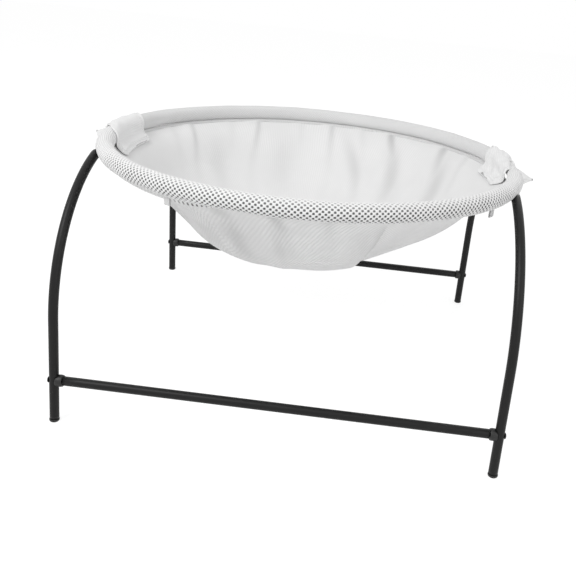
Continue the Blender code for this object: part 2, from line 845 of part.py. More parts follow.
def make_cuff(side_name):
    """A cuff over a joint of the ring: its sewn base, its flap and the two patches."""
    start, end = CUFFS[side_name]
    profile, _, _ = flap_profile()
    hinge = math.asin(CUFF_HINGE_GAP / 2 / CUFF_RADIUS)
    flap = spun(
        side_name + "_cuff_flap", profile, start, end, 4, SPACER_MESH, CUFF_CLOTH
    )
    base_steps = 4
    base_profile = [
        (
            CUFF_RADIUS * math.cos(CUFF_BASE_ANGLE * n / base_steps - hinge),
            CUFF_RADIUS * math.sin(CUFF_BASE_ANGLE * n / base_steps - hinge),
        )
        for n in range(base_steps + 1)
    ]
    base = spun(
        side_name + "_cuff_base", base_profile, start, end, 4, SPACER_MESH, CUFF_CLOTH
    )
    side = 1 if side_name == "right" else -1
    notch = leg_cutter(
        side_name + "_cuff_notch", side, 1, SLEEVE_SLACK, drop=NOTCH_DROP
    )
    cut(base, notch)
    loop_height = PATCH_GAP + PATCH_THICKNESS / 2
    hook_height = loop_height + PATCH_THICKNESS + PATCH_GAP
    for kind, height in (("loop", loop_height), ("hook", hook_height)):
        spun(
            side_name + "_" + kind + "_patch",
            patch_profile(height),
            start + 1.0,
            end - 1.0,
            4,
            WHITE_TAPE,
            PATCH_THICKNESS,
        )
    smooth(flap)
    smooth(base)


def make_ear(side_name):
    """The pointed end of the front sleeve: a short hollow cone of cloth."""
    angle = EARS[side_name]
    start = ring_place(angle, out=SLEEVE_RADIUS - EAR_BASE_RADIUS)
    end = ring_place(angle, out=SLEEVE_RADIUS + EAR_REACH)
    bm = bmesh.new()
    cylinder_between(bm, start, end, EAR_BASE_RADIUS, 16, end_radius=EAR_TIP_RADIUS)
    caps = [face for face in bm.faces if len(face.verts) > 4]
    bmesh.ops.delete(bm, geom=caps, context="FACES")
    ear = thicken(
        from_bmesh(side_name + "_sleeve_ear", bm, SPACER_MESH), EAR_CLOTH, -1.0
    )
    seat_points = ring_arc(angle - ARC_STEP, angle + ARC_STEP)
    seat = rod(side_name + "_ear_seat", seat_points, SLEEVE_RADIUS + SEAT_GAP)
    return smooth(cut(ear, seat))


def make_tab(side_name):
    """A sewn pull tab that hangs below the front sleeve."""
    angle = TABS[side_name]
    top = ring_place(angle, up=-SLEEVE_RADIUS - SEAT_GAP)
    size = Matrix.Diagonal((TAB_THICKNESS, TAB_WIDTH, TAB_LENGTH, 1.0))
    place = Matrix.Translation(top - Vector((0, 0, TAB_LENGTH / 2)))
    turn = Matrix.Rotation(math.radians(angle), 4, "Z")
    bm = bmesh.new()
    bmesh.ops.create_cube(bm, size=1.0, matrix=place @ turn @ size)
    tab = from_bmesh(side_name + "_pull_tab", bm, WHITE_TAPE)
    edge = tab.modifiers.new("edge", "BEVEL")
    edge.width = TAB_EDGE_RADIUS
    edge.segments = 2
    return tab


# Build


def build_frame():
    """The steel frame with its fixings and feet."""
    for name, front_back in (("front", -1), ("back", 1)):
        make_half_ring(name + "_half_ring", front_back)
        make_bar(name + "_bar", front_back)
    for name, side in (("left", -1), ("right", 1)):
        make_joint_insert(name + "_ring_joint_insert", side)
        make_joint_screw(name + "_ring_joint_screw", side)
    for corner, (side, front_back) in CORNERS.items():
        make_leg(corner, side, front_back)
        make_foot_cap(corner, side, front_back)
        make_saddle(corner, side, front_back)
        make_bar_insert(corner, side, front_back)
        make_bar_screw(corner, side, front_back)
        make_top_screw(corner, side, front_back)
        make_rivet_nut(corner, side, front_back)


def build_cloth():
    """The cloth: two sleeves, the bowl, its binding, the cuffs, the ears and the tabs."""
    make_sleeve("front_sleeve", FRONT_SLEEVE, -1)
    make_sleeve("back_sleeve", BACK_SLEEVE, 1)
    make_bowl()
    make_binding()
    for side_name in ("left", "right"):
        make_cuff(side_name)
        make_ear(side_name)
        make_tab(side_name)


build_frame()
build_cloth()
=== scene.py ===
# %% [markdown]
# # An elevated cat bed
#
# The bed is a white mesh hammock on a frame of thin charcoal tube. The packed
# frame gives every size and place. This lesson dresses it: round tubes with a
# powder coat, sleeves of knitted spacer mesh with real holes, a hung bowl with
# its folds, and the small sewn and moulded pieces that hold it all together.

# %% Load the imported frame
import math

import bmesh
import bpy
import numpy as np
from mathutils import Matrix, Vector


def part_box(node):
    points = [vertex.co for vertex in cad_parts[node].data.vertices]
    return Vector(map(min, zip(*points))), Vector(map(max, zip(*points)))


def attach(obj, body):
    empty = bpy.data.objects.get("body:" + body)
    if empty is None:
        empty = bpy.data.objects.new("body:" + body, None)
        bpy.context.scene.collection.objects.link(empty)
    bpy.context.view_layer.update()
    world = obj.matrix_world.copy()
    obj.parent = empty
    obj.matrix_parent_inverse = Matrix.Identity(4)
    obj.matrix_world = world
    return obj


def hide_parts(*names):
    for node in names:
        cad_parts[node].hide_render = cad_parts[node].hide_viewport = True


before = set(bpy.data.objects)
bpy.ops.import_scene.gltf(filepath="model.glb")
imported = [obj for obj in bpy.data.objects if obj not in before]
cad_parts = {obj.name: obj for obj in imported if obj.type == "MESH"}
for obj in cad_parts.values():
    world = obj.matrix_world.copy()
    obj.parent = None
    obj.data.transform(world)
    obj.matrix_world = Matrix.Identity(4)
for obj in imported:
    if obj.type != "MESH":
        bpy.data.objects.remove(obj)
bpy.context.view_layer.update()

CORNERS = {
    "front_left": (-1, -1),
    "front_right": (1, -1),
    "back_left": (-1, 1),
    "back_right": (1, 1),
}

# %% [markdown]
# ## Sizes
#
# The ring's place and the tube's thickness are read from the frame. What a box
# can't give, such as a bend's radius, is written here in metres.

# %% Sizes read from the frame and written out
ring_low, ring_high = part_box("back_half_ring")
TUBE = (ring_high.z - ring_low.z) / 2
RING_HEIGHT = (ring_high.z + ring_low.z) / 2
RING_RADIUS = ring_high.x - TUBE
SEAT_GAP = 0.0003
FOOT_X = RING_RADIUS - 0.0028
FOOT_Y = RING_RADIUS - 0.0147
BAR_HEIGHT = 0.0463
CAP_HEIGHT = 0.0028
LEG_LEAN = math.radians(3.6)
LEG_BEND_LEAN = math.radians(73.8)
LEG_TOP_STRAIGHT = 0.0115
LEG_TOP_BEND = 0.0310
TONGUE_ANGLE = math.radians(15.94)
TONGUE_THICK = 0.0024
TONGUE_WIDE = 0.0130
TONGUE_OVERHANG = 0.0100
TONGUE_FLAT = 0.0110
CRUSH = 0.0195
TONGUE_X = RING_RADIUS * math.cos(TONGUE_ANGLE)
TONGUE_Y = RING_RADIUS * math.sin(TONGUE_ANGLE)
TONGUE_Z = RING_HEIGHT - TUBE - SEAT_GAP - TONGUE_THICK / 2
FLAT_Y = TONGUE_Y + TONGUE_FLAT
SLEEVE = 0.0092
SEAM_ANGLE = math.radians(-122.0)
SEAM_STANDOFF = 0.0009
BOWL_CLOTH = 0.0016
BOWL_DEPTH = 0.1145
print("ring radius", round(RING_RADIUS, 4), "height", round(RING_HEIGHT, 4))

# %% [markdown]
# ## Small helpers
#
# Everything below is a surface over two numbers: rows run along a piece and
# columns run round it. One function turns such a table of points into a mesh,
# closes it where asked, and turns its faces outwards.


# %% Helpers for shapes
def smooth_step(low, high, value):
    """0 below low, 1 above high, and 3t^2 - 2t^3 in between."""
    t = np.clip((value - low) / (high - low), 0.0, 1.0)
    return t * t * (3.0 - 2.0 * t)


def bump_between(low, high, edge, value):
    """1 between low and high, falling smoothly to 0 over edge on both sides."""
    rise = smooth_step(low - edge, low, value)
    return rise * (1.0 - smooth_step(high, high + edge, value))


def bell(distance, width):
    """exp(-(distance / width)^2): 1 at no distance, and nearly 0 two widths away."""
    return np.exp(-((distance / width) ** 2))


def unit(vectors):
    """Vectors of length one."""
    return vectors / np.maximum(np.linalg.norm(vectors, axis=-1, keepdims=True), 1e-12)


def through(points, count):
    """A smooth line through points: Catmull-Rom pieces, sampled count times."""
    points = np.asarray(points, float)
    before = 2.0 * points[:1] - points[1:2]
    after = 2.0 * points[-1:] - points[-2:-1]
    padded = np.vstack([before, points, after])
    along = np.linspace(0.0, len(points) - 1.0, count)
    piece = np.minimum(along.astype(int), len(points) - 2)
    t = (along - piece)[:, None]
    p0, p1, p2, p3 = (padded[piece + shift] for shift in range(4))
    bend = 2.0 * p0 - 5.0 * p1 + 4.0 * p2 - p3
    twist = 3.0 * (p1 - p2) + p3 - p0
    return 0.5 * (2.0 * p1 + (p2 - p0) * t + bend * t**2 + twist * t**3)


def grid_faces(rows, columns, wrap_rows, wrap_columns):
    """Quads between neighbouring rows and columns of a table of points."""
    row = np.arange(rows if wrap_rows else rows - 1)
    column = np.arange(columns if wrap_columns else columns - 1)
    i, j = np.meshgrid(row, column, indexing="ij")
    next_i = (i + 1) % rows
    next_j = (j + 1) % columns
    corners = [i * columns + j, next_i * columns + j]
    corners += [next_i * columns + next_j, i * columns + next_j]
    return np.stack(corners, axis=-1).reshape(-1, 4)


def add_object(name, data, material=None):
    """Puts a mesh, a lamp or a camera in the scene, with its material if it has one."""
    if material:
        data.materials.append(material)
    made = bpy.data.objects.new(name, data)
    bpy.context.scene.collection.objects.link(made)
    return made


def surface(name, points, material, inside, wrap=(False, False), weave=None, turn=(0.0, 0.0, 0.0)):
    """A smooth mesh from a table of points, with its faces pointing away from inside.

    weave is each point's place in the cloth. Over one closed row it grows by turn.
    """
    rows, columns, _ = points.shape
    faces = grid_faces(rows, columns, *wrap)
    flat = points.reshape(-1, 3)
    middle = np.broadcast_to(np.asarray(inside, float), points.shape).reshape(-1, 3)
    a, b, c, d = (flat[faces[:, k]] for k in range(4))
    normals = np.cross(c - a, d - b)
    outward = np.einsum("ij,ij->i", normals, a - middle[faces[:, 0]])
    if outward.sum() < 0:
        faces = faces[:, ::-1]
    mesh = bpy.data.meshes.new(name)
    mesh.from_pydata(flat.tolist(), [], faces.tolist())
    if weave is not None:
        column = faces % columns
        passed = (column == 0) & (column.max(axis=1, keepdims=True) == columns - 1)
        place = weave.reshape(-1, 3)[faces] + passed[..., None] * np.asarray(turn)
        layer = mesh.attributes.new("weave", "FLOAT_VECTOR", "CORNER")
        layer.data.foreach_set("vector", place.reshape(-1).astype(np.float32))
    bm = bmesh.new()
    bm.from_mesh(mesh)
    bmesh.ops.remove_doubles(bm, verts=bm.verts, dist=1e-7)
    bm.to_mesh(mesh)
    bm.free()
    mesh.shade_smooth()
    return add_object(name, mesh, material)


def copies(name, shape, faces, origins, axes, material):
    """One mesh of many copies of a small shape, each with its own origin and axes."""
    points = np.einsum("vk,nkj->nvj", shape, axes) + origins[:, None, :]
    shift = np.arange(len(origins))[:, None, None] * len(shape)
    every = (faces[None] + shift).reshape(-1, faces.shape[1])
    mesh = bpy.data.meshes.new(name)
    mesh.from_pydata(points.reshape(-1, 3).tolist(), [], every.tolist())
    mesh.shade_smooth()
    return add_object(name, mesh, material)


def seat(made, body, slot, *nodes):
    """Fastens a piece to its body and hides the nodes it stands for; slot is not used."""
    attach(made, body)
    if nodes:
        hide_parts(*nodes)
    return made


def thicken(made, thickness, offset, inner_material=None):
    """Gives a sheet its thickness."""
    wall = made.modifiers.new("wall", "SOLIDIFY")
    wall.thickness = thickness
    wall.offset = offset
    if inner_material:
        made.data.materials.append(inner_material)
        wall.material_offset = 1
    return made


def ring_line(theta, out=0.0, up=0.0):
    """Points at angles in radians round the ring, moved out and up from its centre line."""
    theta, out, up = np.broadcast_arrays(theta, out, up)
    reach = RING_RADIUS + out
    return np.stack([reach * np.cos(theta), reach * np.sin(theta), RING_HEIGHT + up], axis=-1)


print("a closed band of 3 rows and 8 columns has", len(grid_faces(3, 8, False, True)), "faces")

# %% [markdown]
# ## Finishes
#
# A finish is a small graph of nodes. An image could be painted instead, but a
# pattern that nodes work out stays sharp from near and from far. A few helpers
# keep each graph short: one adds a node and feeds its inputs in order, and
# others do arithmetic.


# %% Helpers for materials
def feed(tree, place, value):
    """Gives a socket a value, or links another node's output to it."""
    if isinstance(value, bpy.types.NodeSocket):
        tree.links.new(value, place)
    elif value is not None:
        place.default_value = value


def add_node(tree, kind, *values, **settings):
    """Adds a node with its settings and, in order, its inputs."""
    made = tree.nodes.new(kind)
    for name, value in settings.items():
        setattr(made, name, value)
    for place, value in zip(made.inputs, values):
        feed(tree, place, value)
    return made


def maths(tree, operation, first, *others):
    """Arithmetic nodes that join the first value to each of the others in turn."""
    for other in others or (None,):
        first = add_node(tree, "ShaderNodeMath", first, other, operation=operation).outputs[0]
    return first


def times(tree, *values):
    """The product of some values."""
    return maths(tree, "MULTIPLY", *values)


def plus(tree, *values):
    """The sum of some values."""
    return maths(tree, "ADD", *values)


def noise(tree, where, scale, detail=2.0):
    """A noise value from 0 to 1, with scale in cells per unit of where."""
    made = add_node(tree, "ShaderNodeTexNoise", where)
    made.inputs["Scale"].default_value = scale
    made.inputs["Detail"].default_value = detail
    return made.outputs[0]


def spread(tree, value, low, high, from_low=0.0, from_high=1.0, smooth=False):
    """A value moved from one range to another."""
    made = add_node(tree, "ShaderNodeMapRange", value, from_low, from_high, low, high)
    if smooth:
        made.interpolation_type = "SMOOTHSTEP"
    return made.outputs[0]


def mix_colour(tree, share, first, second):
    """A colour between two others."""
    made = tree.nodes.new("ShaderNodeMix")
    made.data_type = "RGBA"
    feed(tree, made.inputs[0], share)
    feed(tree, made.inputs[6], first)
    feed(tree, made.inputs[7], second)
    return made.outputs[2]


def raise_bump(tree, shader, height, distance):
    """Gives a shader a bump of a height that runs from 0 to 1, in metres."""
    made = tree.nodes.new("ShaderNodeBump")
    made.inputs["Strength"].default_value = 1.0
    made.inputs["Distance"].default_value = distance
    feed(tree, made.inputs["Height"], height)
    feed(tree, shader.inputs["Normal"], made.outputs[0])


def start_material(name, roughness, metallic=0.0):
    """A new material: its tree, its shader and the object's own coordinates."""
    made = bpy.data.materials.new(name)
    made.use_nodes = True
    tree = made.node_tree
    shader = tree.nodes["Principled BSDF"]
    shader.inputs["Roughness"].default_value = roughness
    shader.inputs["Metallic"].default_value = metallic
    where = tree.nodes.new("ShaderNodeTexCoord").outputs["Object"]
    return made, tree, shader, where


def grey(value, warmth=0.0):
    """A grey, a little warmer or cooler."""
    return (value * (1.0 + warmth), value, value * (1.0 - warmth), 1.0)


print("plain grey is", grey(0.5))

# %% [markdown]
# ### Powder coat, plastic and small hardware
#
# Powder coat cures with a faint orange peel. Its colour is nearly black, and
# its sheen is what shows the tube's roundness. Moulded plastic is darker and
# finer, and screws are oiled black or plated.


# %% Hard finishes
def hard_finish(name, colour, rough, metallic, peel_scale, peel_height, gloss=0.5):
    """A finish with a fine peel, and a roughness that varies a little."""
    made, tree, shader, where = start_material(name, rough, metallic)
    peel = noise(tree, where, peel_scale)
    cloud = noise(tree, where, peel_scale / 30.0, 4.0)
    tone = mix_colour(tree, spread(tree, cloud, 0.0, 1.0, 0.3, 0.7), *colour)
    shader.inputs["Specular IOR Level"].default_value = gloss
    feed(tree, shader.inputs["Base Color"], tone)
    feed(tree, shader.inputs["Roughness"], spread(tree, cloud, rough - 0.05, rough + 0.06))
    raise_bump(tree, shader, peel, peel_height)
    return made


POWDER_COAT = hard_finish(
    "charcoal_powder_coat", (grey(0.0085), grey(0.0110)), 0.42, 0.0, 900.0, 0.00006, 0.22
)
MOULDED_BLACK = hard_finish(
    "moulded_black", (grey(0.006), grey(0.009)), 0.50, 0.0, 2500.0, 0.00004
)
ZINC = hard_finish("zinc_plate", (grey(0.42, 0.02), grey(0.55)), 0.34, 1.0, 1800.0, 0.00002)
BLACK_OXIDE = hard_finish(
    "black_oxide", (grey(0.018), grey(0.030)), 0.36, 0.6, 2200.0, 0.00002
)
print("hard finishes", 4)

# %% [markdown]
# ### Spacer mesh
#
# The sleeves are knitted in two faces with a springy layer between. The outer
# face has staggered holes. cos(a) cos(b) peaks on just such a lattice, so the
# same product shapes the surface and paints shadow into the holes. Near its
# ends the cloth is drawn tight: the holes close there and fine lines run along
# it, with painted shade in them. The weave attribute holds the distance along
# the rim and round it, in millimetres, and how open the holes are.

# %% Spacer mesh
HOLE_PITCH = 5.0
HOLE_ROUNDS = 12
SLEEVE_GIRTH = 2000.0 * math.pi * SLEEVE
ROW_PERIOD = SLEEVE_GIRTH / HOLE_ROUNDS
HOLE_EDGE = (0.02, 0.50)
LINE_PERIOD = 2.1
KNIT_STITCH = (0.83, 0.80)


def woven_place(tree):
    """The weave attribute's three numbers."""
    found = add_node(tree, "ShaderNodeAttribute", attribute_name="weave")
    parts = add_node(tree, "ShaderNodeSeparateXYZ", found.outputs["Vector"])
    return found.outputs["Vector"], parts.outputs


def wave(tree, value, period):
    """The cosine of a distance, once for each period."""
    return maths(tree, "COSINE", times(tree, value, 2.0 * math.pi / period))


def spacer_mesh(name, thread, shadow, pitch, row, line_share, closed_painted_shade):
    """White yarn round staggered holes, with painted shadow in them. Where closed: fine lines and painted
    shade.
    """
    made, tree, shader, _ = start_material(name, 0.88)
    place, (along, around, opened) = woven_place(tree)
    lattice = times(tree, wave(tree, along, pitch), wave(tree, around, row))
    hole = times(tree, spread(tree, lattice, 0.0, 1.0, *HOLE_EDGE, smooth=True), opened)
    closed = spread(tree, opened, 1.0, 0.0, 0.0, 0.5)
    # Painted shade: the fine lines are grooves, and the yarn is darker in them.
    line = spread(tree, wave(tree, around, LINE_PERIOD), 0.0, 1.0, -0.2, 1.0)
    line = times(tree, line, closed, line_share)
    fibre = noise(tree, place, 3.2, 4.0)
    knit = times(tree, wave(tree, along, KNIT_STITCH[0]), wave(tree, around, KNIT_STITCH[1]))
    soft = spread(tree, fibre, 0.0, 0.22, 0.35, 0.75)
    # Painted shade: where the holes are closed, the yarn is darker by the last share.
    tint = plus(tree, soft, line, times(tree, closed, closed_painted_shade))
    yarn = mix_colour(tree, tint, grey(thread), grey(thread * 0.82))
    # Painted shadow: the holes take the shadow grey.
    feed(tree, shader.inputs["Base Color"], mix_colour(tree, hole, yarn, grey(shadow)))
    shader.inputs["Sheen Weight"].default_value = 0.15
    height = plus(tree, times(tree, fibre, 0.30), spread(tree, knit, 0.0, 0.25, -1.0, 1.0))
    height = maths(tree, "SUBTRACT", height, plus(tree, hole, line))
    raise_bump(tree, shader, height, 0.00035)
    return made


# The back's finish paints shade where its net is closed. The front's paints none there.
SPACER = spacer_mesh("spacer_mesh_front", 0.90, 0.10, HOLE_PITCH, ROW_PERIOD, 0.8, 0.0)
SPACER_SOFT = spacer_mesh("spacer_mesh_back", 0.82, 0.50, 2.5, ROW_PERIOD / 2.0, 0.0, 0.8)
print("hole pitch", HOLE_PITCH, "mm, row period", round(ROW_PERIOD, 2), "mm")

# %% [markdown]
# ### Bowl cloth
#
# The bowl is knitted closer. Outside, its ridges lean as they run down from
# the rim, a few millimetres apart. Inside, finer ribs run straight down. Both
# fade towards the bottom, and the cloth is a painted shade darker between them.
# Each face has its own finish. The weave attribute holds the place in the cloth,
# and a third number: up to 1 it is how strong the ridges are, and above 1 how
# much painted shade a crease puts there.


# %% Bowl cloth
RIDGE_WAY = (0.93, 0.36)
RIB_WAY = (1.0, 0.0)
CROSS_PERIOD = 1.3
# How dark the painted shade in a crease gets, as a share of the dark grey
CREASE_PAINTED_SHADE = 0.55


def ribbed_cloth(name, light, dark, way, period, height):
    """Ridges: cos(2 pi (way . place) / period), cross threads, painted shade between ridges and in creases.
    """
    made, tree, shader, _ = start_material(name, 0.92)
    place, (along, across, shown) = woven_place(tree)
    fibre = noise(tree, place, 2.0, 4.0)
    drift = spread(tree, noise(tree, place, 0.03, 2.0), -2.2, 2.2)
    leaning = plus(tree, times(tree, along, way[0]), times(tree, across, way[1]), drift)
    ridge = spread(tree, wave(tree, leaning, period), 0.0, 1.0, -1.0, 1.0)
    strong = spread(tree, noise(tree, place, 0.018, 3.0), 0.25, 1.0, 0.38, 0.62, smooth=True)
    ridge = times(tree, ridge, times(tree, strong, maths(tree, "MINIMUM", shown, 1.0)))
    beside = maths(tree, "SUBTRACT", times(tree, along, way[1]), times(tree, across, way[0]))
    cross = spread(tree, wave(tree, beside, CROSS_PERIOD), 0.0, 0.25, -1.0, 1.0)
    # Painted shade: the cloth is darker between its ridges.
    share = times(tree, spread(tree, ridge, 1.0, 0.0, 0.0, 0.8), 0.75)
    share = plus(tree, share, spread(tree, fibre, -0.12, 0.30))
    tone = mix_colour(tree, share, grey(light), grey(dark))
    # Painted shade: above 1, the third number darkens the cloth in a crease.
    painted_shade = spread(tree, shown, 0.0, 1.0, 1.0, 2.0)
    tone = mix_colour(tree, painted_shade, tone, grey(dark * CREASE_PAINTED_SHADE))
    feed(tree, shader.inputs["Base Color"], tone)
    shader.inputs["Sheen Weight"].default_value = 0.12
    raise_bump(tree, shader, plus(tree, ridge, cross, times(tree, fibre, 0.25)), height)
    return made


# Both faces are one white cloth: the outside's lighter grey is painted light, the inside's darker grey
# painted shade.
BOWL_OUTSIDE = ribbed_cloth("bowl_cloth_outside", 0.95, 0.78, RIDGE_WAY, 3.8, 0.00045)
BOWL_INSIDE = ribbed_cloth("bowl_cloth_inside", 0.82, 0.765, RIB_WAY, 3.2, 0.00012)
CUFF_CLOTH = ribbed_cloth("cuff_cloth", 0.90, 0.78, (0.30, 0.95), 2.0, 0.00022)
print("ribbed finishes", 3)

# %% [markdown]
# ### Tape and thread
#
# Bindings and tabs are woven tape, with a twill that leans one way. Thread is
# plain and a little brighter than the cloth.


# %% Tape and thread
def woven_tape(name, light, dark, scale, height):
    """Plain woven tape: crossed waves on the object's own coordinates."""
    made, tree, shader, where = start_material(name, 0.86)
    x, y, z = add_node(tree, "ShaderNodeSeparateXYZ", where).outputs
    warp = plus(tree, x, y)
    weft = plus(tree, z, times(tree, x, 0.5))
    crossed = times(tree, wave(tree, warp, scale), wave(tree, weft, scale))
    tone = mix_colour(tree, spread(tree, crossed, 0.0, 1.0, -1.0, 1.0), grey(light), grey(dark))
    feed(tree, shader.inputs["Base Color"], tone)
    raise_bump(tree, shader, crossed, height)
    return made


TAPE = woven_tape("white_tape", 0.80, 0.66, 0.0011, 0.00012)
LOOP_FELT = woven_tape("loop_felt", 0.72, 0.55, 0.0007, 0.00025)
THREAD = woven_tape("sewing_thread", 0.86, 0.72, 0.0005, 0.00005)
print("tape finishes", 3)

# %% [markdown]
# ## Tubes
#
# The frame is bent from one size of thin steel tube. A tube is a path with an
# ellipse carried along it. A curve with a bevel would be quicker to write, but
# it is round all along, and a leg's end is pressed flat: here the ellipse's
# width and height change along the way, and the side vector says which way its
# width lies.

# %% Tubes
TUBE_SIDES = 40
END_CHAMFER = 0.0004


def chamfered(path, wide, high):
    """Closes both ends of a path: a pole, a small chamfer, then the full section."""
    first = path[:1] + unit(path[1:2] - path[:1]) * END_CHAMFER
    last = path[-1:] + unit(path[-2:-1] - path[-1:]) * END_CHAMFER
    path = np.vstack([path[:1], path[:1], first, path[1:-1], last, path[-1:], path[-1:]])

    def ends(size):
        """The section's size at the added stations."""
        start = [0.0, size[0] - END_CHAMFER, size[0]]
        return np.concatenate([start, size[1:-1], start[::-1]])

    return path, ends(wide), ends(high)


def swept(name, path, wide, high, side, material):
    """A tube along a path: centre + wide cos(t) side + high sin(t) other."""
    tangent = unit(np.gradient(path, axis=0))
    tangent = np.vstack([tangent[:1], tangent[:1], tangent, tangent[-1:], tangent[-1:]])
    path, wide, high = chamfered(path, wide, high)
    side = np.broadcast_to(side, path.shape)
    side = unit(side - np.einsum("ij,ij->i", side, tangent)[:, None] * tangent)
    other = np.cross(tangent, side)
    turn = np.linspace(0.0, 2.0 * np.pi, TUBE_SIDES, endpoint=False)
    points = path[:, None, :]
    points = points + side[:, None, :] * (wide[:, None] * np.cos(turn))[..., None]
    points = points + other[:, None, :] * (high[:, None] * np.sin(turn))[..., None]
    return surface(name, points, material, path[:, None, :], wrap=(False, True))


print("a tube has", TUBE_SIDES, "sides")

# %% [markdown]
# ## Legs
#
# A leg stands nearly straight, then bends inwards on a long arc, and ends in a
# flat tongue under the ring. The straight's length and the arc's radius follow
# from where the foot and the tongue are: two equations, one for the run and
# one for the rise.


# %% Legs
def leg_centre_line():
    """A leg's (y, z) line: straight, long bend, short bend, then level to the tongue's end."""
    low, high = LEG_LEAN, LEG_BEND_LEAN
    bend_run = math.cos(low) - math.cos(high)
    bend_rise = math.sin(high) - math.sin(low)
    run = FOOT_Y - FLAT_Y - LEG_TOP_STRAIGHT - LEG_TOP_BEND * math.cos(high)
    rise = TONGUE_Z - LEG_TOP_BEND * (1.0 - math.sin(high))
    scale = math.cos(low) * bend_run - math.sin(low) * bend_rise
    straight = (rise * bend_run - run * bend_rise) / scale
    radius = (run * math.cos(low) - rise * math.sin(low)) / scale
    start = (CAP_HEIGHT + SEAT_GAP) / math.cos(low)
    along = np.linspace(start, straight, 24)
    y = FOOT_Y - along * math.sin(low)
    z = along * math.cos(low)
    for size, first, last, count in ((radius, low, high, 60), (LEG_TOP_BEND, high, np.pi / 2, 16)):
        lean = np.linspace(first, last, count)[1:]
        bend_y = y[-1] - size * (math.cos(first) - np.cos(lean))
        bend_z = z[-1] + size * (np.sin(lean) - math.sin(first))
        y = np.concatenate([y, bend_y])
        z = np.concatenate([z, bend_z])
    level = np.linspace(y[-1], TONGUE_Y - TONGUE_OVERHANG, 70)[1:]
    return np.concatenate([y, level]), np.concatenate([z, np.full(len(level), z[-1])])


def make_leg(corner, side, front):
    """One leg, with its round section pressed to a tongue that has a round tip."""
    y, z = leg_centre_line()
    lean_in = (FOOT_X - TONGUE_X) / TONGUE_Z
    path = np.stack([side * (FOOT_X - lean_in * z), front * y, z], axis=-1)
    pressed = 1.0 - smooth_step(FLAT_Y, FLAT_Y + CRUSH, y)
    pressed = pressed * (z > TONGUE_Z - CRUSH)
    wide = TUBE + (TONGUE_WIDE / 2 - TUBE) * pressed
    high = TUBE + (TONGUE_THICK / 2 - TUBE) * pressed
    to_tip = np.clip((y - TONGUE_Y + TONGUE_OVERHANG) / (TONGUE_WIDE / 2), 0.0, 1.0)
    wide = wide * np.sqrt(np.maximum(1.0 - (1.0 - to_tip) ** 2, 0.02))
    leg = swept(corner + "_leg_tube", path, wide, high, np.array([1.0, 0.0, 0.0]), POWDER_COAT)
    return seat(leg, "frame", "coated_steel", corner + "_leg")


for corner, (side, front) in CORNERS.items():
    make_leg(corner, side, front)
print("legs", len(CORNERS))

# %% [markdown]
# ## Ring and cross-bars
#
# The ring is two half hoops, because a whole one wouldn't fit in a flat box.
# The cross-bars are straight and keep the legs apart. The half hoops follow the
# ring's circle, and the bars take their ends from the frame.


# %% Ring halves and bars
def make_half_ring(name, start, end):
    """Half of the ring's tube."""
    theta = np.linspace(start, end, 120)
    up = np.array([0.0, 0.0, 1.0])
    size = np.full(len(theta), TUBE)
    half = swept(name + "_tube", ring_line(theta), size, size, up, POWDER_COAT)
    return seat(half, "frame", "coated_steel", name)


end_gap = SEAT_GAP / 2 / RING_RADIUS
make_half_ring("back_half_ring", end_gap, math.pi - end_gap)
make_half_ring("front_half_ring", math.pi + end_gap, 2.0 * math.pi - end_gap)

for name in ("front_bar", "back_bar"):
    low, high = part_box(name)
    middle = (low + high) / 2
    along = np.linspace(low.x, high.x, 24)
    path = np.stack([along, np.full(24, middle.y), np.full(24, middle.z)], axis=-1)
    size = np.full(24, TUBE)
    bar = swept(name + "_tube", path, size, size, np.array([0.0, 0.0, 1.0]), POWDER_COAT)
    seat(bar, "frame", "coated_steel", name)
print("ring halves and bars", 4)

# %% [markdown]
# ## Moulded pieces and screws
#
# Foot plugs and screw heads are turned: a profile of (radius, height) carried
# round an axis. A saddle is turned round its bar too, but its end follows the
# round leg that it sits against.

# %% Turned pieces
TURN_SIDES = 48
AXES_UP = np.eye(3)


def turned(name, profile, origin, axes, material, hexagon_from=None):
    """A profile turned round an axis. From the row hexagon_from on, its rings are hexagons."""
    profile = np.asarray(profile, float)
    turn = np.linspace(0.0, 2.0 * np.pi, TURN_SIDES, endpoint=False)
    radius = np.repeat(profile[:, :1], TURN_SIDES, axis=1)
    if hexagon_from is not None:
        flat = np.cos(np.pi / 6) / np.cos((turn % (np.pi / 3)) - np.pi / 6)
        radius[hexagon_from:] = radius[hexagon_from:] * flat
    height = np.repeat(profile[:, 1:], TURN_SIDES, axis=1)
    local = np.stack([radius * np.cos(turn), radius * np.sin(turn), height], axis=-1)
    points = local @ axes + np.asarray(origin, float)
    middle = np.asarray(origin, float) + axes[2] * profile[:, 1].mean()
    return surface(name, points, material, middle, wrap=(False, True))


CAP_PROFILE = (
    (0.0, 0.0), (0.0030, 0.0), (0.0038, 0.0), (0.0044, 0.0002), (0.0049, 0.0008), (0.0051, 0.0015),
    (0.0051, 0.0023), (0.0050, 0.0027), (0.0048, 0.0028), (0.0040, 0.0028), (0.0034, 0.0030),
    (0.0034, 0.0100), (0.0030, 0.0110), (0.0, 0.0110),
)


def foot_place(side, front, height):
    """A point on a leg's lower straight at a height."""
    lean_in = (FOOT_X - TONGUE_X) / TONGUE_Z
    x = side * (FOOT_X - lean_in * height)
    return np.array([x, front * (FOOT_Y - height * math.tan(LEG_LEAN)), height])


for corner, (side, front) in CORNERS.items():
    cap = turned(
        corner + "_foot_plug", CAP_PROFILE, foot_place(side, front, 0.0), AXES_UP, MOULDED_BLACK
    )
    seat(cap, "frame", "black_plastic", corner + "_foot_cap")
print("foot plugs", len(CORNERS))

# %% [markdown]
# ### Screws
#
# A real screw head is turned and then punched. Here it is the same kind of
# profile as a foot plug, and its last rings are hexagons, so the socket is part
# of one closed skin and needs no boolean cut. The shank's length is what is
# left of the frame's screw once its head is taken off.

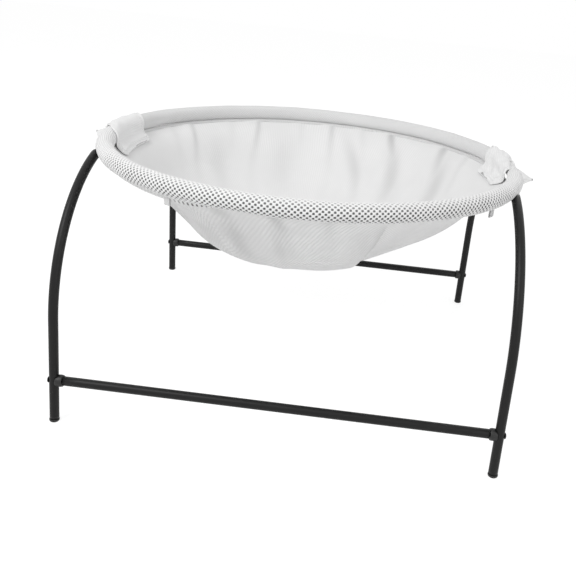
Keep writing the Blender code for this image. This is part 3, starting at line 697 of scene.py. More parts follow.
# %% Screws
BAR_HEAD_SEAT = TUBE + SEAT_GAP
HEAD_HEIGHT = 0.0019
TOP_HEAD_DOWN = 0.0022
SHANK_PROFILE = ((0.0, 0.0), (0.0016, 0.0), (0.0020, 0.0004))
HEAD_PROFILE = (
    (0.0020, 0.0), (0.0031, 0.0), (0.0032, 0.0002), (0.0031, 0.0005), (0.0027, 0.0009), (0.0022, 0.0011),
    (0.0018, 0.0012), (0.0014, 0.0012), (0.00135, 0.0011), (0.0013, 0.0004), (0.0, 0.0004),
)
SIDEWAYS = np.array([[0.0, 1.0, 0.0], [0.0, 0.0, 1.0], [1.0, 0.0, 0.0]])
DOWNWARDS = np.array([[1.0, 0.0, 0.0], [0.0, -1.0, 0.0], [0.0, 0.0, -1.0]])


def screw(name, head_seat, axes, shank, node):
    """A low round head with a hexagon socket, and its shank."""
    profile = [(radius, up - shank) for radius, up in SHANK_PROFILE] + list(HEAD_PROFILE)
    made = turned(name, profile, head_seat, axes, BLACK_OXIDE, hexagon_from=len(profile) - 3)
    return seat(made, "frame", "dark_screw", node)


for corner, (side, front) in CORNERS.items():
    outwards = SIDEWAYS * np.array([[1.0], [side], [side]])
    on_leg = foot_place(side, front, BAR_HEIGHT)
    head_seat = on_leg + np.array([side * BAR_HEAD_SEAT, 0.0, 0.0])
    low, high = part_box(corner + "_bar_screw")
    shank = high.x - low.x - HEAD_HEIGHT
    screw(corner + "_cross_screw", head_seat, outwards, shank, corner + "_bar_screw")
    low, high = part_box(corner + "_top_screw")
    under = np.array([side * TONGUE_X, front * TONGUE_Y, low.z + TOP_HEAD_DOWN])
    screw(corner + "_tongue_screw", under, DOWNWARDS, high.z - under[2], corner + "_top_screw")
print("screws", 2 * len(CORNERS))

# %% [markdown]
# ### Saddles
#
# A saddle is a short black collar between a bar and its leg. Round its own
# axis it is a shallow barrel. Its leg end starts where the leg's surface is:
# sqrt(r^2 - d^2) from the leg's axis, at a distance d to the side.

# %% Saddles
SADDLE_RADIUS = 0.0061
SADDLE_REACH = 0.0095
SADDLE_BACK = 0.0025
SADDLE_BARREL = 0.0005


def make_saddle(corner, side, front):
    """One collar, closed by its bore."""
    turn = np.linspace(0.0, 2.0 * np.pi, TURN_SIDES, endpoint=False)
    outer = np.linspace(0.0, 1.0, 14)
    radius = SADDLE_RADIUS - 0.0004 + SADDLE_BARREL * np.sin(np.pi * outer) ** 0.5
    rows = np.concatenate([[0.45], radius / SADDLE_RADIUS, [0.86, 0.45]]) * SADDLE_RADIUS
    along = np.concatenate([[0.0], outer, [1.0, 1.0]])
    across = rows[:, None] * np.cos(turn)
    up = rows[:, None] * np.sin(turn)
    clear = TUBE + SEAT_GAP
    seat_at = np.sqrt(np.maximum(clear**2 - across**2, SADDLE_BACK**2))
    reach = seat_at + (SADDLE_REACH - seat_at) * along[:, None]
    centre = foot_place(side, front, BAR_HEIGHT)
    points = np.stack([centre[0] - side * reach, centre[1] + across, centre[2] + up], axis=-1)
    middle = centre - np.array([side * 0.007, 0.0, 0.0])
    made = surface(corner + "_collar", points, MOULDED_BLACK, middle, wrap=(True, True))
    return seat(made, "frame", "black_plastic", corner + "_bar_saddle")


for corner, (side, front) in CORNERS.items():
    make_saddle(corner, side, front)
print("saddles", len(CORNERS))

# %% [markdown]
# ## Sleeves
#
# The sleeves are the padded rim that a cat lies against. Cutting a thousand
# holes with booleans would be slow and leave ragged faces, so each hole is a
# dent in the surface with painted shadow at its bottom. A sleeve is one closed
# surface: out along its outer face, in at its end hem, back along its bore, and
# out again.
# Its outer radius is a sum: the plain
# radius, soft lumps, the dents, a bulge where it wraps a leg's tongue, and at
# the front a thin seam edge that hangs below it near the ends.
# The front sleeve's right end is gathered, so it narrows towards the joint.

# %% Sleeves
BORE = 0.0058
HOLE_DEPTH = 0.0008
TONGUE_BULGE = 0.0030
HEM_ROLL = 0.0004
SEAM_EDGE = 0.0052
END_NARROW = 0.0027
NARROW_FROM = (348.0, 362.0)
# Where the legs' tongues lie, in degrees from the ring's left or right end, and their fade
TONGUE_SPAN = (13.0, 19.0, 5.0)
# Angles of the section, 0 outwards and 90 upwards, with the half widths of what is there
TONGUE_BELOW = (-85.0, 52.0)
EDGE_BELOW = (-99.0, 13.0)


def from_extreme(degrees):
    """How far an angle is from the ring's left or right end, whichever is nearer."""
    return np.abs((degrees + 90.0) % 180.0 - 90.0)


def apart(first, second):
    """The difference of two angles in degrees, between -180 and 180."""
    return (first - second + 180.0) % 360.0 - 180.0


def hump(value, middle, width):
    """exp(-(d / width)^2), for an angle in degrees at a difference d from the middle."""
    return bell(apart(value, middle), width)


def bulge(degrees, section):
    """The sleeve's extra radius where it wraps a leg's top; section is the angle in degrees."""
    over_tongue = bump_between(*TONGUE_SPAN, from_extreme(degrees))
    return TONGUE_BULGE * over_tongue * hump(section, *TONGUE_BELOW)


def lumps(degrees, section):
    """Slow, uneven swelling of hand-sewn cloth."""
    first = np.sin(np.radians(degrees * 7.0 + section))
    second = np.sin(np.radians(degrees * 13.0 - 2.0 * section + 40.0))
    third = np.sin(np.radians(degrees * 29.0 + 3.0 * section + 110.0))
    return 0.00014 * first + 0.00010 * second + 0.00007 * third


def seam_edge(degrees, section):
    """The thin edge below the front sleeve: a narrow ridge, tallest towards the left."""
    left = bump_between(206.0, 246.0, 12.0, degrees)
    left = left * (0.6 + 0.4 * smooth_step(206.0, 240.0, degrees))
    right = 0.45 * bump_between(322.0, 340.0, 8.0, degrees)
    return SEAM_EDGE * (left + right) * hump(section, *EDGE_BELOW)


def make_sleeve(name, limits, opened, rows, edge, dents, material):
    """A sleeve between two angles; opened gives how open its holes are at an angle and section."""
    start, end = limits
    columns = HOLE_ROUNDS * 6
    degrees = np.linspace(start, end, rows)
    section = np.linspace(0.0, 360.0, columns, endpoint=False)
    degrees, section = np.meshgrid(degrees, section, indexing="ij")
    along = np.radians(degrees) * RING_RADIUS * 1000.0
    lattice = np.cos(2.0 * np.pi * along / HOLE_PITCH) * np.cos(HOLE_ROUNDS * np.radians(section))
    hole = smooth_step(*HOLE_EDGE, lattice) * opened(degrees, section) * dents
    to_end = np.minimum(degrees - start, end - degrees) * math.radians(RING_RADIUS * 1000.0)
    hem = HEM_ROLL * bell(to_end - 2.5, 1.6)
    outer = SLEEVE + lumps(degrees, section) - HOLE_DEPTH * hole + bulge(degrees, section)
    outer = outer + hem + edge * seam_edge(degrees, section)
    outer = outer - edge * END_NARROW * smooth_step(*NARROW_FROM, degrees)
    back = np.repeat(np.linspace(end, start, 50)[:, None], columns, axis=1)
    roll = np.radians([30.0, 60.0, 90.0, 120.0, 150.0])[:, None]
    wall = (outer[-1] - BORE) / 2
    end_rows = BORE + wall + wall * np.cos(roll)
    tip = np.degrees(0.0012 / RING_RADIUS) * np.sin(roll)
    wall = (outer[0] - BORE) / 2
    start_rows = BORE + wall - wall * np.cos(roll)
    degrees_all = np.vstack([degrees, end + tip + 0 * end_rows, back, start - tip + 0 * start_rows])
    radius = np.vstack([outer, end_rows, np.full(back.shape, BORE), start_rows])
    section_all = np.repeat(section[:1], len(radius), axis=0)
    turn = np.radians(section_all)
    theta = np.radians(degrees_all)
    points = ring_line(theta, radius * np.cos(turn), radius * np.sin(turn))
    around = turn * SLEEVE * 1000.0
    shown = opened(degrees_all, section_all)
    weave = np.stack([theta * RING_RADIUS * 1000.0, around, shown], axis=-1)
    weave[rows:, :, 2] = 0.0
    wall_middle = (SLEEVE + BORE) / 2
    inside = ring_line(theta, wall_middle * np.cos(turn), wall_middle * np.sin(turn))
    turn = (0.0, SLEEVE_GIRTH, 0.0)
    return surface(name, points, material, inside, wrap=(True, True), weave=weave, turn=turn)


def front_open(degrees, section):
    """Holes close towards the ends and on the seam edge. On top they are shallower and paler: painted
    light.
    """
    ends = smooth_step(203.0, 226.0, degrees) * (1.0 - 0.9 * smooth_step(322.0, 350.0, degrees))
    # Painted light: on top the holes are shallower and paler, where light falls into them.
    top = 1.0 - 0.62 * hump(section, 95.0, 48.0)
    below = 1.0 - 0.95 * hump(section, -96.0, 34.0)
    left = 1.0 - smooth_step(238.0, 250.0, degrees)
    return ends * top * (1.0 - (1.0 - below) * left)


def back_open(degrees, section):
    """The back's finer net shows from the middle to the left, below a smooth top in painted shade."""
    ends = smooth_step(64.0, 92.0, degrees) * (1.0 - smooth_step(150.0, 163.0, degrees))
    right = 0.5 * (1.0 - smooth_step(50.0, 80.0, degrees))
    return np.maximum(0.75 * ends * (1.0 - hump(section, 70.0, 56.0)), right)


front_sleeve = make_sleeve("front_mesh_sleeve", (180.4, 369.4), front_open, 880, 1.0, 1.0, SPACER)
seat(front_sleeve, "frame", "spacer_mesh", "front_sleeve")
back_sleeve = make_sleeve("back_mesh_sleeve", (17.4, 169.4), back_open, 360, 0.0, 0.0, SPACER_SOFT)
seat(back_sleeve, "frame", "spacer_mesh", "back_sleeve")
print("sleeve faces", len(front_sleeve.data.polygons), len(back_sleeve.data.polygons))

# %% [markdown]
# ## Bowl
#
# The real bowl is a light knitted cloth that hangs from a seam below the
# sleeves. A cloth simulation would find a shape of its own, and the folds of
# this one are known, so it is a surface over angle and depth instead. Its
# section is a smooth line through a few shares of its radius and depth. At the
# front left and front right the cloth is pulled tight, so there the section is
# flatter, and a sharp crease divides the full front from the tight right.

# %% Bowl sections
DEPTH_SHARES = (0.0, 0.035, 0.09, 0.17, 0.28, 0.42, 0.56, 0.70, 0.83, 0.93, 0.985, 1.0)
FULL_SHARES = (1.0, 0.973, 0.93, 0.887, 0.843, 0.79, 0.715, 0.61, 0.472, 0.313, 0.153, 0.0)
LEFT_SHARES = (1.0, 0.980, 0.938, 0.862, 0.772, 0.692, 0.636, 0.578, 0.482, 0.344, 0.17, 0.0)
RIGHT_SHARES = (1.0, 0.973, 0.927, 0.878, 0.82, 0.745, 0.648, 0.54, 0.435, 0.318, 0.16, 0.0)
# The angles between which the left is tight, and their fade
TIGHT_LEFT = (206.0, 238.0, 20.0)
# The crease's distance from the bed's middle: at the seam, and what it gains to the bottom
CREASE_X = (0.0905, -0.0125)
CREASE_WIDE = 0.022
TIGHT_RIGHT_END = (340.0, 352.0)
BOWL_LEAN = 0.0105
BOWL_ROWS, BOWL_COLUMNS = 64, 720
WEAVE_RADIUS = 190.0
seam_out = (SLEEVE + SEAM_STANDOFF) * math.cos(SEAM_ANGLE)
seam_up = (SLEEVE + SEAM_STANDOFF) * math.sin(SEAM_ANGLE)
BOWL_TOP = RING_HEIGHT + seam_up
print("the bowl hangs from", round(BOWL_TOP, 4), "down to", round(BOWL_TOP - BOWL_DEPTH, 4))

# %% [markdown]
# ### Folds
#
# Folds run down from the seam: each is a ridge or a valley that fades at the
# seam and at the bottom, and narrow pinches sit right at the seam, where the
# cloth is gathered. Each has one width on either side, so that it can lean
# over, as cloth does. Soft studio light hardly shows such shallow folds, so
# shade is painted into the finish on the steep side of each.

# %% Folds and pinches
# FOLD_DEPTH and PINCH_FADE shape the folds. The other two set the painted shade: its strength on a fold,
# and the pinch size that gets all of it.
FOLD_DEPTH = 0.0070
FOLD_PAINTED_SHADE = 0.32
PINCH_FADE = 0.26
PINCH_PAINTED_SHADE_SIZE = 0.0080
# Each fold: its angle, its half widths in degrees towards smaller and larger angles,
# its share of FOLD_DEPTH, and by how many degrees it leans on its way down
FOLD_SHARES = (
    (43.0, 4.0, 9.0, -1.2, -25.0),
    (67.0, 4.0, 8.0, -1.2, -20.0),
    (88.0, 3.5, 8.0, -0.9, -26.0),
    (112.0, 7.0, 12.0, -0.5, 6.0),
    (140.0, 6.0, 9.0, -0.4, 10.0),
    (248.0, 9.0, 4.5, 1.1, 5.0),
    (263.0, 5.0, 2.8, 0.8, 6.0),
    (284.0, 9.0, 7.0, 0.7, 8.0),
    (316.0, 10.0, 10.0, -0.3, 0.0),
)
# Each pinch at the seam: its angle, its two half widths, how far it leans, its size in metres
PINCHES = (
    (31.0, 1.2, 2.5, -20.0, -0.0016),
    (43.5, 1.5, 4.0, -25.0, -0.0052),
    (67.0, 1.4, 4.0, -27.0, -0.0058),
    (78.0, 1.5, 3.0, -10.0, -0.0012),
    (89.5, 1.2, 3.0, -2.0, -0.0034),
    (101.0, 1.5, 3.0, 8.0, -0.0010),
    (117.0, 1.2, 3.5, 18.0, -0.0034),
    (128.0, 1.5, 3.0, 18.0, -0.0008),
    (144.5, 1.3, 3.5, 22.0, -0.0032),
    (154.0, 1.5, 3.0, 20.0, -0.0010),
    (236.0, 3.0, 1.8, 0.0, 0.0014),
    (250.0, 4.0, 2.4, 0.0, 0.0034),
    (265.5, 4.0, 1.6, 4.0, 0.0046),
    (278.0, 3.0, 1.6, 6.0, 0.0022),
    (304.0, 3.0, 2.0, 0.0, 0.0010),
)


def ridge_line(away, below, above):
    """exp(-(away / width)^2), with one width on each side, so a fold can lean over."""
    return bell(away, np.where(away < 0.0, below, above))


def fold_height(degrees, depth):
    """The folds' and pinches' outward offset at angles and shares of depth."""
    total = np.zeros(np.broadcast(degrees, depth).shape)
    for middle, below, above, share, leaning in FOLD_SHARES:
        away = apart(degrees, middle + leaning * depth)
        total = total + FOLD_DEPTH * share * ridge_line(away, below, above)
    total = total * np.sin(np.pi * depth) ** 2
    for middle, below, above, leaning, size in PINCHES:
        wider = 1.0 + 3.0 * depth
        away = apart(degrees, middle + leaning * depth)
        fade = smooth_step(0.0, 0.05, depth) * np.exp(-depth / PINCH_FADE)
        total = total + size * fade * ridge_line(away, below * wider, above * wider)
    slow = np.sin(np.radians(11.0 * degrees + 30.0))
    slow = slow + 0.7 * np.sin(np.radians(17.0 * degrees - 80.0))
    return total + 0.00035 * slow * np.sin(np.pi * depth)


def painted_crease_shade(degrees, depth):
    """How much painted shade each place gets, on the steep side of every fold and pinch."""
    total = np.zeros(np.broadcast(degrees, depth).shape)
    fade = smooth_step(0.0, 0.03, depth) * np.exp(-depth / PINCH_FADE)
    swell = np.sin(np.pi * np.clip(depth * 1.3, 0.0, 1.0)) ** 1.5
    for middle, below, above, share, leaning in FOLD_SHARES:
        away = apart(degrees, middle + leaning * depth) * (1.0 if share > 0.0 else -1.0)
        wide = above if share > 0.0 else below
        dark = abs(share) * FOLD_PAINTED_SHADE * swell * hump(away, wide, 0.75 * wide)
        total = np.maximum(total, dark)
    for middle, below, above, leaning, size in PINCHES:
        away = apart(degrees, middle + leaning * depth) * (1.0 if size > 0.0 else -1.0)
        wide = (above if size > 0.0 else below) * (1.0 + 3.0 * depth)
        dark = abs(size) / PINCH_PAINTED_SHADE_SIZE * fade * bell(away - 0.9 * wide, 0.8 * wide)
        total = np.maximum(total, dark)
    return np.minimum(total, 1.0)


print("folds", len(FOLD_SHARES), "pinches", len(PINCHES))


# %% Bowl surface
def bowl_points(rows, columns):
    """The bowl's middle surface, its angles, and how near each point is to the crease.

    At an angle t and a depth d the radius is share(d) times the seam's radius plus
    the folds' height, and the whole leans to the left as it goes down.
    """
    tables = [
        through(np.column_stack([shares, DEPTH_SHARES]), rows)[:, None, :]
        for shares in (FULL_SHARES, LEFT_SHARES, RIGHT_SHARES)
    ]
    degrees = np.linspace(0.0, 360.0, columns, endpoint=False)[None, :]
    full, left, right = tables
    share = full + (left - full) * bump_between(*TIGHT_LEFT, degrees)[..., None]
    plan_x = (RING_RADIUS + seam_out) * full[..., 0] * np.cos(np.radians(degrees))
    before = (CREASE_X[0] + CREASE_X[1] * full[..., 1] - plan_x) / CREASE_WIDE
    past = (1.0 - np.clip(before, 0.0, 1.0)) ** 2.2 * (degrees > 270.0)
    past = past * (1.0 - smooth_step(*TIGHT_RIGHT_END, degrees))
    share = share + (right - full) * past[..., None]
    radial, depth = share[..., 0], share[..., 1]
    radius = (RING_RADIUS + seam_out) * radial
    radius = radius + fold_height(degrees, depth) * np.minimum(1.0, radial * 2.0)
    theta = np.radians(degrees)
    x = radius * np.cos(theta) - BOWL_LEAN * np.clip(depth, 0.0, 1.0) ** 1.6
    y = radius * np.sin(theta)
    z = BOWL_TOP - BOWL_DEPTH * depth
    return np.stack([x, y, z + 0.0 * x], axis=-1), theta, past * (before > 0.0)


bowl_table, bowl_theta, near_crease = bowl_points(BOWL_ROWS, BOWL_COLUMNS)
steps = np.linalg.norm(np.diff(bowl_table, axis=0), axis=-1)
from_seam = np.vstack([np.zeros((1, BOWL_COLUMNS)), np.cumsum(steps, axis=0)])
bowl_degrees = np.degrees(bowl_theta)
bowl_depth = (BOWL_TOP - bowl_table[..., 2]) / BOWL_DEPTH
# Painted shade: darker on the folds' steep sides and before the front right crease. It rides above 1 in the
# third weave number.
shaded = smooth_step(0.0, 0.2, bowl_depth) * (1.0 - smooth_step(0.6, 0.92, bowl_depth))
painted_shade = np.maximum(painted_crease_shade(bowl_degrees, bowl_depth), 0.5 * near_crease * shaded)
ridges_and_painted_shade = 1.0 - smooth_step(0.62, 0.88, from_seam / from_seam[-1:]) + painted_shade
lean_less = 1.0 - smooth_step(225.0, 272.0, bowl_degrees)
lean_more = 1.0 + smooth_step(190.0, 210.0, bowl_degrees) * lean_less
weave = [bowl_theta * WEAVE_RADIUS + 0.0 * from_seam, from_seam * 1000.0 * lean_more, ridges_and_painted_shade]
bowl = surface(
    "hung_bowl", bowl_table, BOWL_OUTSIDE, (0.0, 0.0, BOWL_TOP + 0.1), wrap=(False, True),
    weave=np.stack(weave, axis=-1), turn=(2.0 * math.pi * WEAVE_RADIUS, 0.0, 0.0),
)
thicken(bowl, BOWL_CLOTH, 0.0, BOWL_INSIDE)
seat(bowl, "frame", "bowl_mesh", "hammock_bowl")
print("bowl faces", len(bowl.data.polygons), "slant height", round(float(from_seam[-1].mean()), 4))

# %% [markdown]
# ## Stitches
#
# A seam shows its stitches as a row of short raised threads. There are
# hundreds of them, so each is a small spindle of a few dozen faces, and one
# mesh holds a whole row, laid end to end.

# %% Stitches
STITCH_LENGTH = 0.0024
STITCH_PITCH = 0.0032
STITCH_THICK = 0.00032


def spindle(rows=5, columns=6):
    """A unit spindle along its first axis: its points and faces."""
    along = np.linspace(0.0, 1.0, rows)
    turn = np.linspace(0.0, 2.0 * np.pi, columns, endpoint=False)
    radius = np.sin(np.pi * along) ** 0.6
    forward = np.repeat(along[:, None] - 0.5, columns, axis=1)
    across = radius[:, None] * np.cos(turn)
    points = np.stack([forward, across, radius[:, None] * np.sin(turn)], axis=-1)
    return points.reshape(-1, 3), grid_faces(rows, columns, False, True)[:, ::-1]


def stitch_row(name, line, normals, body, closed=False):
    """Stitches along a line of points, lying on the side that the normals point to."""
    if closed:
        line = np.vstack([line, line[:1]])
        normals = np.vstack([normals, normals[:1]])
    steps = np.linalg.norm(np.diff(line, axis=0), axis=1)
    travelled = np.concatenate([[0.0], np.cumsum(steps)])
    count = max(1, int(travelled[-1] / STITCH_PITCH))
    places = (np.arange(count) + 0.5) * travelled[-1] / count

    def read(table, where):
        """A table of points or normals read at distances along the line."""
        return np.stack([np.interp(where, travelled, table[:, k]) for k in range(3)], axis=-1)

    origins = read(line, places)
    half = STITCH_LENGTH / 2
    forward = unit(read(line, places + half) - read(line, places - half))
    upward = unit(read(normals, places))
    across = unit(np.cross(upward, forward))
    upward = np.cross(forward, across)
    axes = np.stack([forward * STITCH_LENGTH, across * STITCH_THICK, upward * STITCH_THICK], axis=1)
    shape, faces = spindle()
    made = copies(name, shape, faces, origins + upward * STITCH_THICK * 0.4, axes, THREAD)
    return seat(made, body, "white_tape")


print("faces of one stitch", len(spindle()[1]))

# %% [markdown]
# ## Seam binding
#
# A narrow tape covers the seam inside the bowl, and two rows of stitches hold
# it. The tape is a closed band with a crowned top and a flat base, set on the
# bowl's first stretch of wall, so it follows that wall by its own two numbers:
# how far down it, and how far off it.

# %% Binding
BINDING_FROM = 0.0010
BINDING_WIDE = 0.0042
BINDING_THICK = 0.0007
BINDING_LIFT = 0.0001
BINDING_WAVER = 0.00012
BINDING_WAVES = 37.0
wall_run = (FULL_SHARES[1] - FULL_SHARES[0]) * (RING_RADIUS + seam_out)
wall_drop = (DEPTH_SHARES[1] - DEPTH_SHARES[0]) * BOWL_DEPTH
WALL_DOWN = np.array([wall_run, -wall_drop]) / math.hypot(wall_run, wall_drop)
WALL_IN = np.array([WALL_DOWN[1], -WALL_DOWN[0]])


def wall_points(theta, along, lift):
    """Points that lie on the bowl's first stretch of wall, a distance down and off it."""
    out = seam_out + WALL_DOWN[0] * along + WALL_IN[0] * lift
    up = seam_up + WALL_DOWN[1] * along + WALL_IN[1] * lift
    return ring_line(theta, out, up)


turn = np.linspace(0.0, 2.0 * np.pi, 361)[:-1][None, :]
tape_rows = np.linspace(0.0, 1.0, 9)[:, None]
crown = BINDING_THICK * np.sqrt(np.maximum(1.0 - (2.0 * tape_rows - 1.0) ** 4, 0.0))
crown = crown * (1.0 - 0.7 * tape_rows)
uneven = BINDING_WAVER * np.sin(turn * BINDING_WAVES)
down_tape = BINDING_FROM + BINDING_WIDE * tape_rows + uneven
base_lift = BOWL_CLOTH / 2 + BINDING_LIFT
top = wall_points(turn, down_tape, base_lift + crown)
base = wall_points(turn, down_tape, base_lift + 0.0 * crown)
inside = wall_points(turn, down_tape, base_lift + crown / 2)
tape_points = np.concatenate([top, base[::-1][1:-1]], axis=0)
tape_middle = np.concatenate([inside, inside[::-1][1:-1]], axis=0)
binding = surface("seam_tape", tape_points, TAPE, tape_middle, wrap=(True, True))
seat(binding, "frame", "white_tape", "rim_seam_binding")
tape_normal = unit(top - base + 1e-9 * (top - inside))
for number, share in enumerate((2, 6)):
    stitch_row("seam_stitches_" + str(number), top[share], tape_normal[share], "frame", closed=True)
print("binding faces", len(binding.data.polygons))

# %% [markdown]
# ## Cuffs
#
# A cuff closes over each joint of the ring. Its flap starts at a hinge line on
# the outer side, goes over the ring and lies down the bowl's inner wall, and
# its base runs below the hinge. A cloth simulation could lay it there, but its
# outline would be left to chance, so it is worked out: a thin pad whose two
# faces meet in rolled hems, which swells between them, and is creased. Over the
# ring a flap spreads forwards onto the front sleeve, so its two edges are
# tables of angles along its length. The left one is fuller, and the right one
# is crumpled.

# %% Cuffs
CUFF_THICK = 0.0015
CUFF_RADIUS = SLEEVE + 0.0006 + CUFF_THICK / 2
CUFF_TAIL = 0.0162
TAIL_LIFT = 0.0048
HEM_WIDE = 0.0030
TAIL_CORNER = 0.0080
HINGE_GAP = 0.0003
BASE_ANGLE = math.radians(-52.0)
FLAP_ARC_END = math.radians(168.0)
SMOOTHING_ROUNDS = 140
TAIL_BELOW = 0.0045
# The ridge and the groove beside a hem: height, distance from the rim, half width
HEM_LINE = (0.0006, 0.0014, 0.0009)
GROOVE_LINE = (0.0005, 0.0038, 0.0008)
FLAP_ROWS, FLAP_COLUMNS = 90, 84
# Shares of a flap's length, and its two edges there as angles round the ring
EDGE_SHARES = (0.0, 0.15, 0.28, 0.36, 0.43, 0.60, 0.78, 0.90, 1.0)
FLAP_EDGES = {
    "right": (
        (5.6, 7.0, 6.5, 2.0, -2.5, -4.5, -3.0, -1.5, -0.5),
        (22.4, 22.4, 21.5, 20.0, 19.2, 18.4, 18.0, 17.5, 17.0),
    ),
    "left": (
        (164.6, 164.8, 165.6, 166.6, 167.2, 167.8, 168.2, 168.4, 168.4),
        (183.0, 183.2, 186.5, 189.0, 190.4, 191.2, 192.5, 193.5, 193.5),
    ),
}
BASE_EDGES = {"right": (5.6, 22.2), "left": (164.8, 181.0)}
# Each flap's swell, crumple and neck in metres
FLAP_SHAPES = {"right": (0.0014, 0.0013, 0.0030), "left": (0.0016, 0.0006, 0.0)}
# Where a flap is drawn in over the narrowed sleeve: two angles and their fade
NECK = (-6.0, 9.0, 4.0)
print("flap radius", round(CUFF_RADIUS, 5))


# %% The flap's section and its creases
def even_line(points, count):
    """A line of points read at even distances, and those distances."""
    travelled = np.concatenate([[0.0], np.cumsum(np.linalg.norm(np.diff(points, axis=0), axis=1))])
    where = np.linspace(0.0, travelled[-1], count)
    return np.stack([np.interp(where, travelled, points[:, k]) for k in range(2)], axis=-1), where


def flap_section(count):
    """The flap's (out, up) line: an arc over the ring, then down along the wall."""
    arc = np.linspace(math.asin(HINGE_GAP / CUFF_RADIUS), FLAP_ARC_END, 40)
    line = np.stack([np.cos(arc), np.sin(arc)], axis=-1) * CUFF_RADIUS
    start = np.array([seam_out, seam_up]) + WALL_IN * (BOWL_CLOTH / 2 + TAIL_LIFT)
    meet = start + WALL_DOWN * ((-CUFF_RADIUS - start[0]) / WALL_DOWN[0])
    tail = meet + WALL_DOWN * np.linspace(0.0015, CUFF_TAIL, 24)[:, None]
    line, _ = even_line(np.vstack([line, tail]), 160)
    for _ in range(SMOOTHING_ROUNDS):
        line[1:-1] = (line[:-2] + 2.0 * line[1:-1] + line[2:]) / 4.0
    reach = np.linalg.norm(line, axis=1, keepdims=True)
    return even_line(line * np.maximum(1.0, CUFF_RADIUS / reach), count)


def crumple(share, far, seed):
    """Creased cloth: ridges |sin| in bent directions, from -1 to 1."""
    bent = share + 0.10 * np.sin(2.0 * np.pi * (1.3 * far + 0.17 * seed))
    first = 1.0 - 2.0 * np.abs(np.sin(np.pi * (3.1 * bent + 1.2 * far + 0.31 * seed)))
    second = np.sin(2.0 * np.pi * (1.7 * far - 2.3 * bent + 0.53 * seed))
    third = np.sin(2.0 * np.pi * (5.2 * far + 1.4 * share + 0.11 * seed))
    return 0.5 * first + 0.3 * second + 0.2 * third


flap_line, flap_travel = flap_section(FLAP_ROWS)
off_tail = np.abs(flap_line[:, 1] + TAIL_BELOW) + 1.0 * (flap_line[:, 0] > 0.0)
tail_start = float(flap_travel[np.argmin(off_tail)])
print("the flap is", round(float(flap_travel[-1]), 4), "long, and its tail starts at", round(tail_start, 4))


# %% Padded cuffs
def rounded_edge(share):
    """sqrt(1 - (1 - share)^2): a quarter circle, from 0 at the rim to 1 inside."""
    return np.sqrt(1.0 - (1.0 - np.clip(share, 0.0, 1.0)) ** 2)


def padded_cuff(name, section, travelled, edges, shape, tail_from, body, node):
    """A pad swept between two edges: two faces that meet in rolled hems."""
    swell_size, crumple_size, neck = shape
    length = travelled[-1]
    far = travelled[:, None] / length
    start, end = (np.interp(far, EDGE_SHARES, edge) for edge in edges)
    normal = unit(np.stack([np.gradient(section[:, 1]), -np.gradient(section[:, 0])], axis=-1))
    share = (1.0 - np.cos(np.linspace(0.0, np.pi, FLAP_COLUMNS)))[None, :] / 2.0
    wide = np.radians(end - start) * RING_RADIUS
    tip = (1.0 - far) * length
    on_tail = smooth_step(tail_from - 0.006, tail_from + 0.004, travelled[:, None])
    side = np.minimum(share, 1.0 - share) * wide
    from_rim = np.minimum(side, np.where(on_tail > 0.5, tip, 1.0))
    edge = 1.0 - smooth_step(0.0, HEM_WIDE * (1.0 + 1.2 * on_tail), from_rim)
    middle = np.sin(np.pi * share) ** 0.6 * np.sin(np.pi * np.clip(far, 0.0, 1.0)) ** 0.7
    lift = swell_size * middle * (1.0 - 0.7 * on_tail)
    lift = lift + crumple_size * crumple(share, far, edges[0][0]) * np.minimum(1.0, middle * 1.6)
    lift = lift - edge * (0.0002 + 0.0030 * on_tail)
    place = start + (end - start) * share
    lift = lift - neck * bump_between(*NECK, place) * (1.0 - smooth_step(0.40, 0.56, far))
    half = CUFF_THICK / 2 * rounded_edge(from_rim / (CUFF_THICK / 2))
    half = half * rounded_edge(np.minimum(travelled[:, None], tip) / (CUFF_THICK / 2))
    hem = HEM_LINE[0] * bell(from_rim - HEM_LINE[1], HEM_LINE[2])
    groove = GROOVE_LINE[0] * bell(from_rim - GROOVE_LINE[1], GROOVE_LINE[2])
    upper = lift + half + (hem - groove) * half / (CUFF_THICK / 2)
    lower = np.minimum(lift, 0.0) - half
    lift = np.concatenate([upper, lower[:, ::-1][:, 1:-1]], axis=1)
    share = np.concatenate([share, share[:, ::-1][:, 1:-1]], axis=1)
    rounded = 1.0 - 0.2 * (1.0 - rounded_edge(tip / TAIL_CORNER)) * (tail_from < length)
    out = section[:, :1] + normal[:, :1] * lift
    up = section[:, 1:] + normal[:, 1:] * lift
    theta = np.radians((start + end) / 2.0 + (end - start) * rounded * (share - 0.5)) + 0.0 * out
    points = ring_line(theta, out, up)
    flat = [theta * RING_RADIUS * 1000.0, travelled[:, None] * 1000.0 + 0.0 * out, 1.0 + 0.0 * out]
    weave = np.stack(flat, axis=-1)
    centre = np.minimum(lift.mean(axis=1, keepdims=True), 0.0) + 0.0 * lift
    middle = section[:, None, :] + normal[:, None, :] * centre[..., None]
    inside = ring_line(theta, middle[..., 0], middle[..., 1])
    made = surface(name, points, CUFF_CLOTH, inside, wrap=(False, True), weave=weave)
    seat(made, body, "spacer_mesh", node)
    return points[:, :FLAP_COLUMNS]


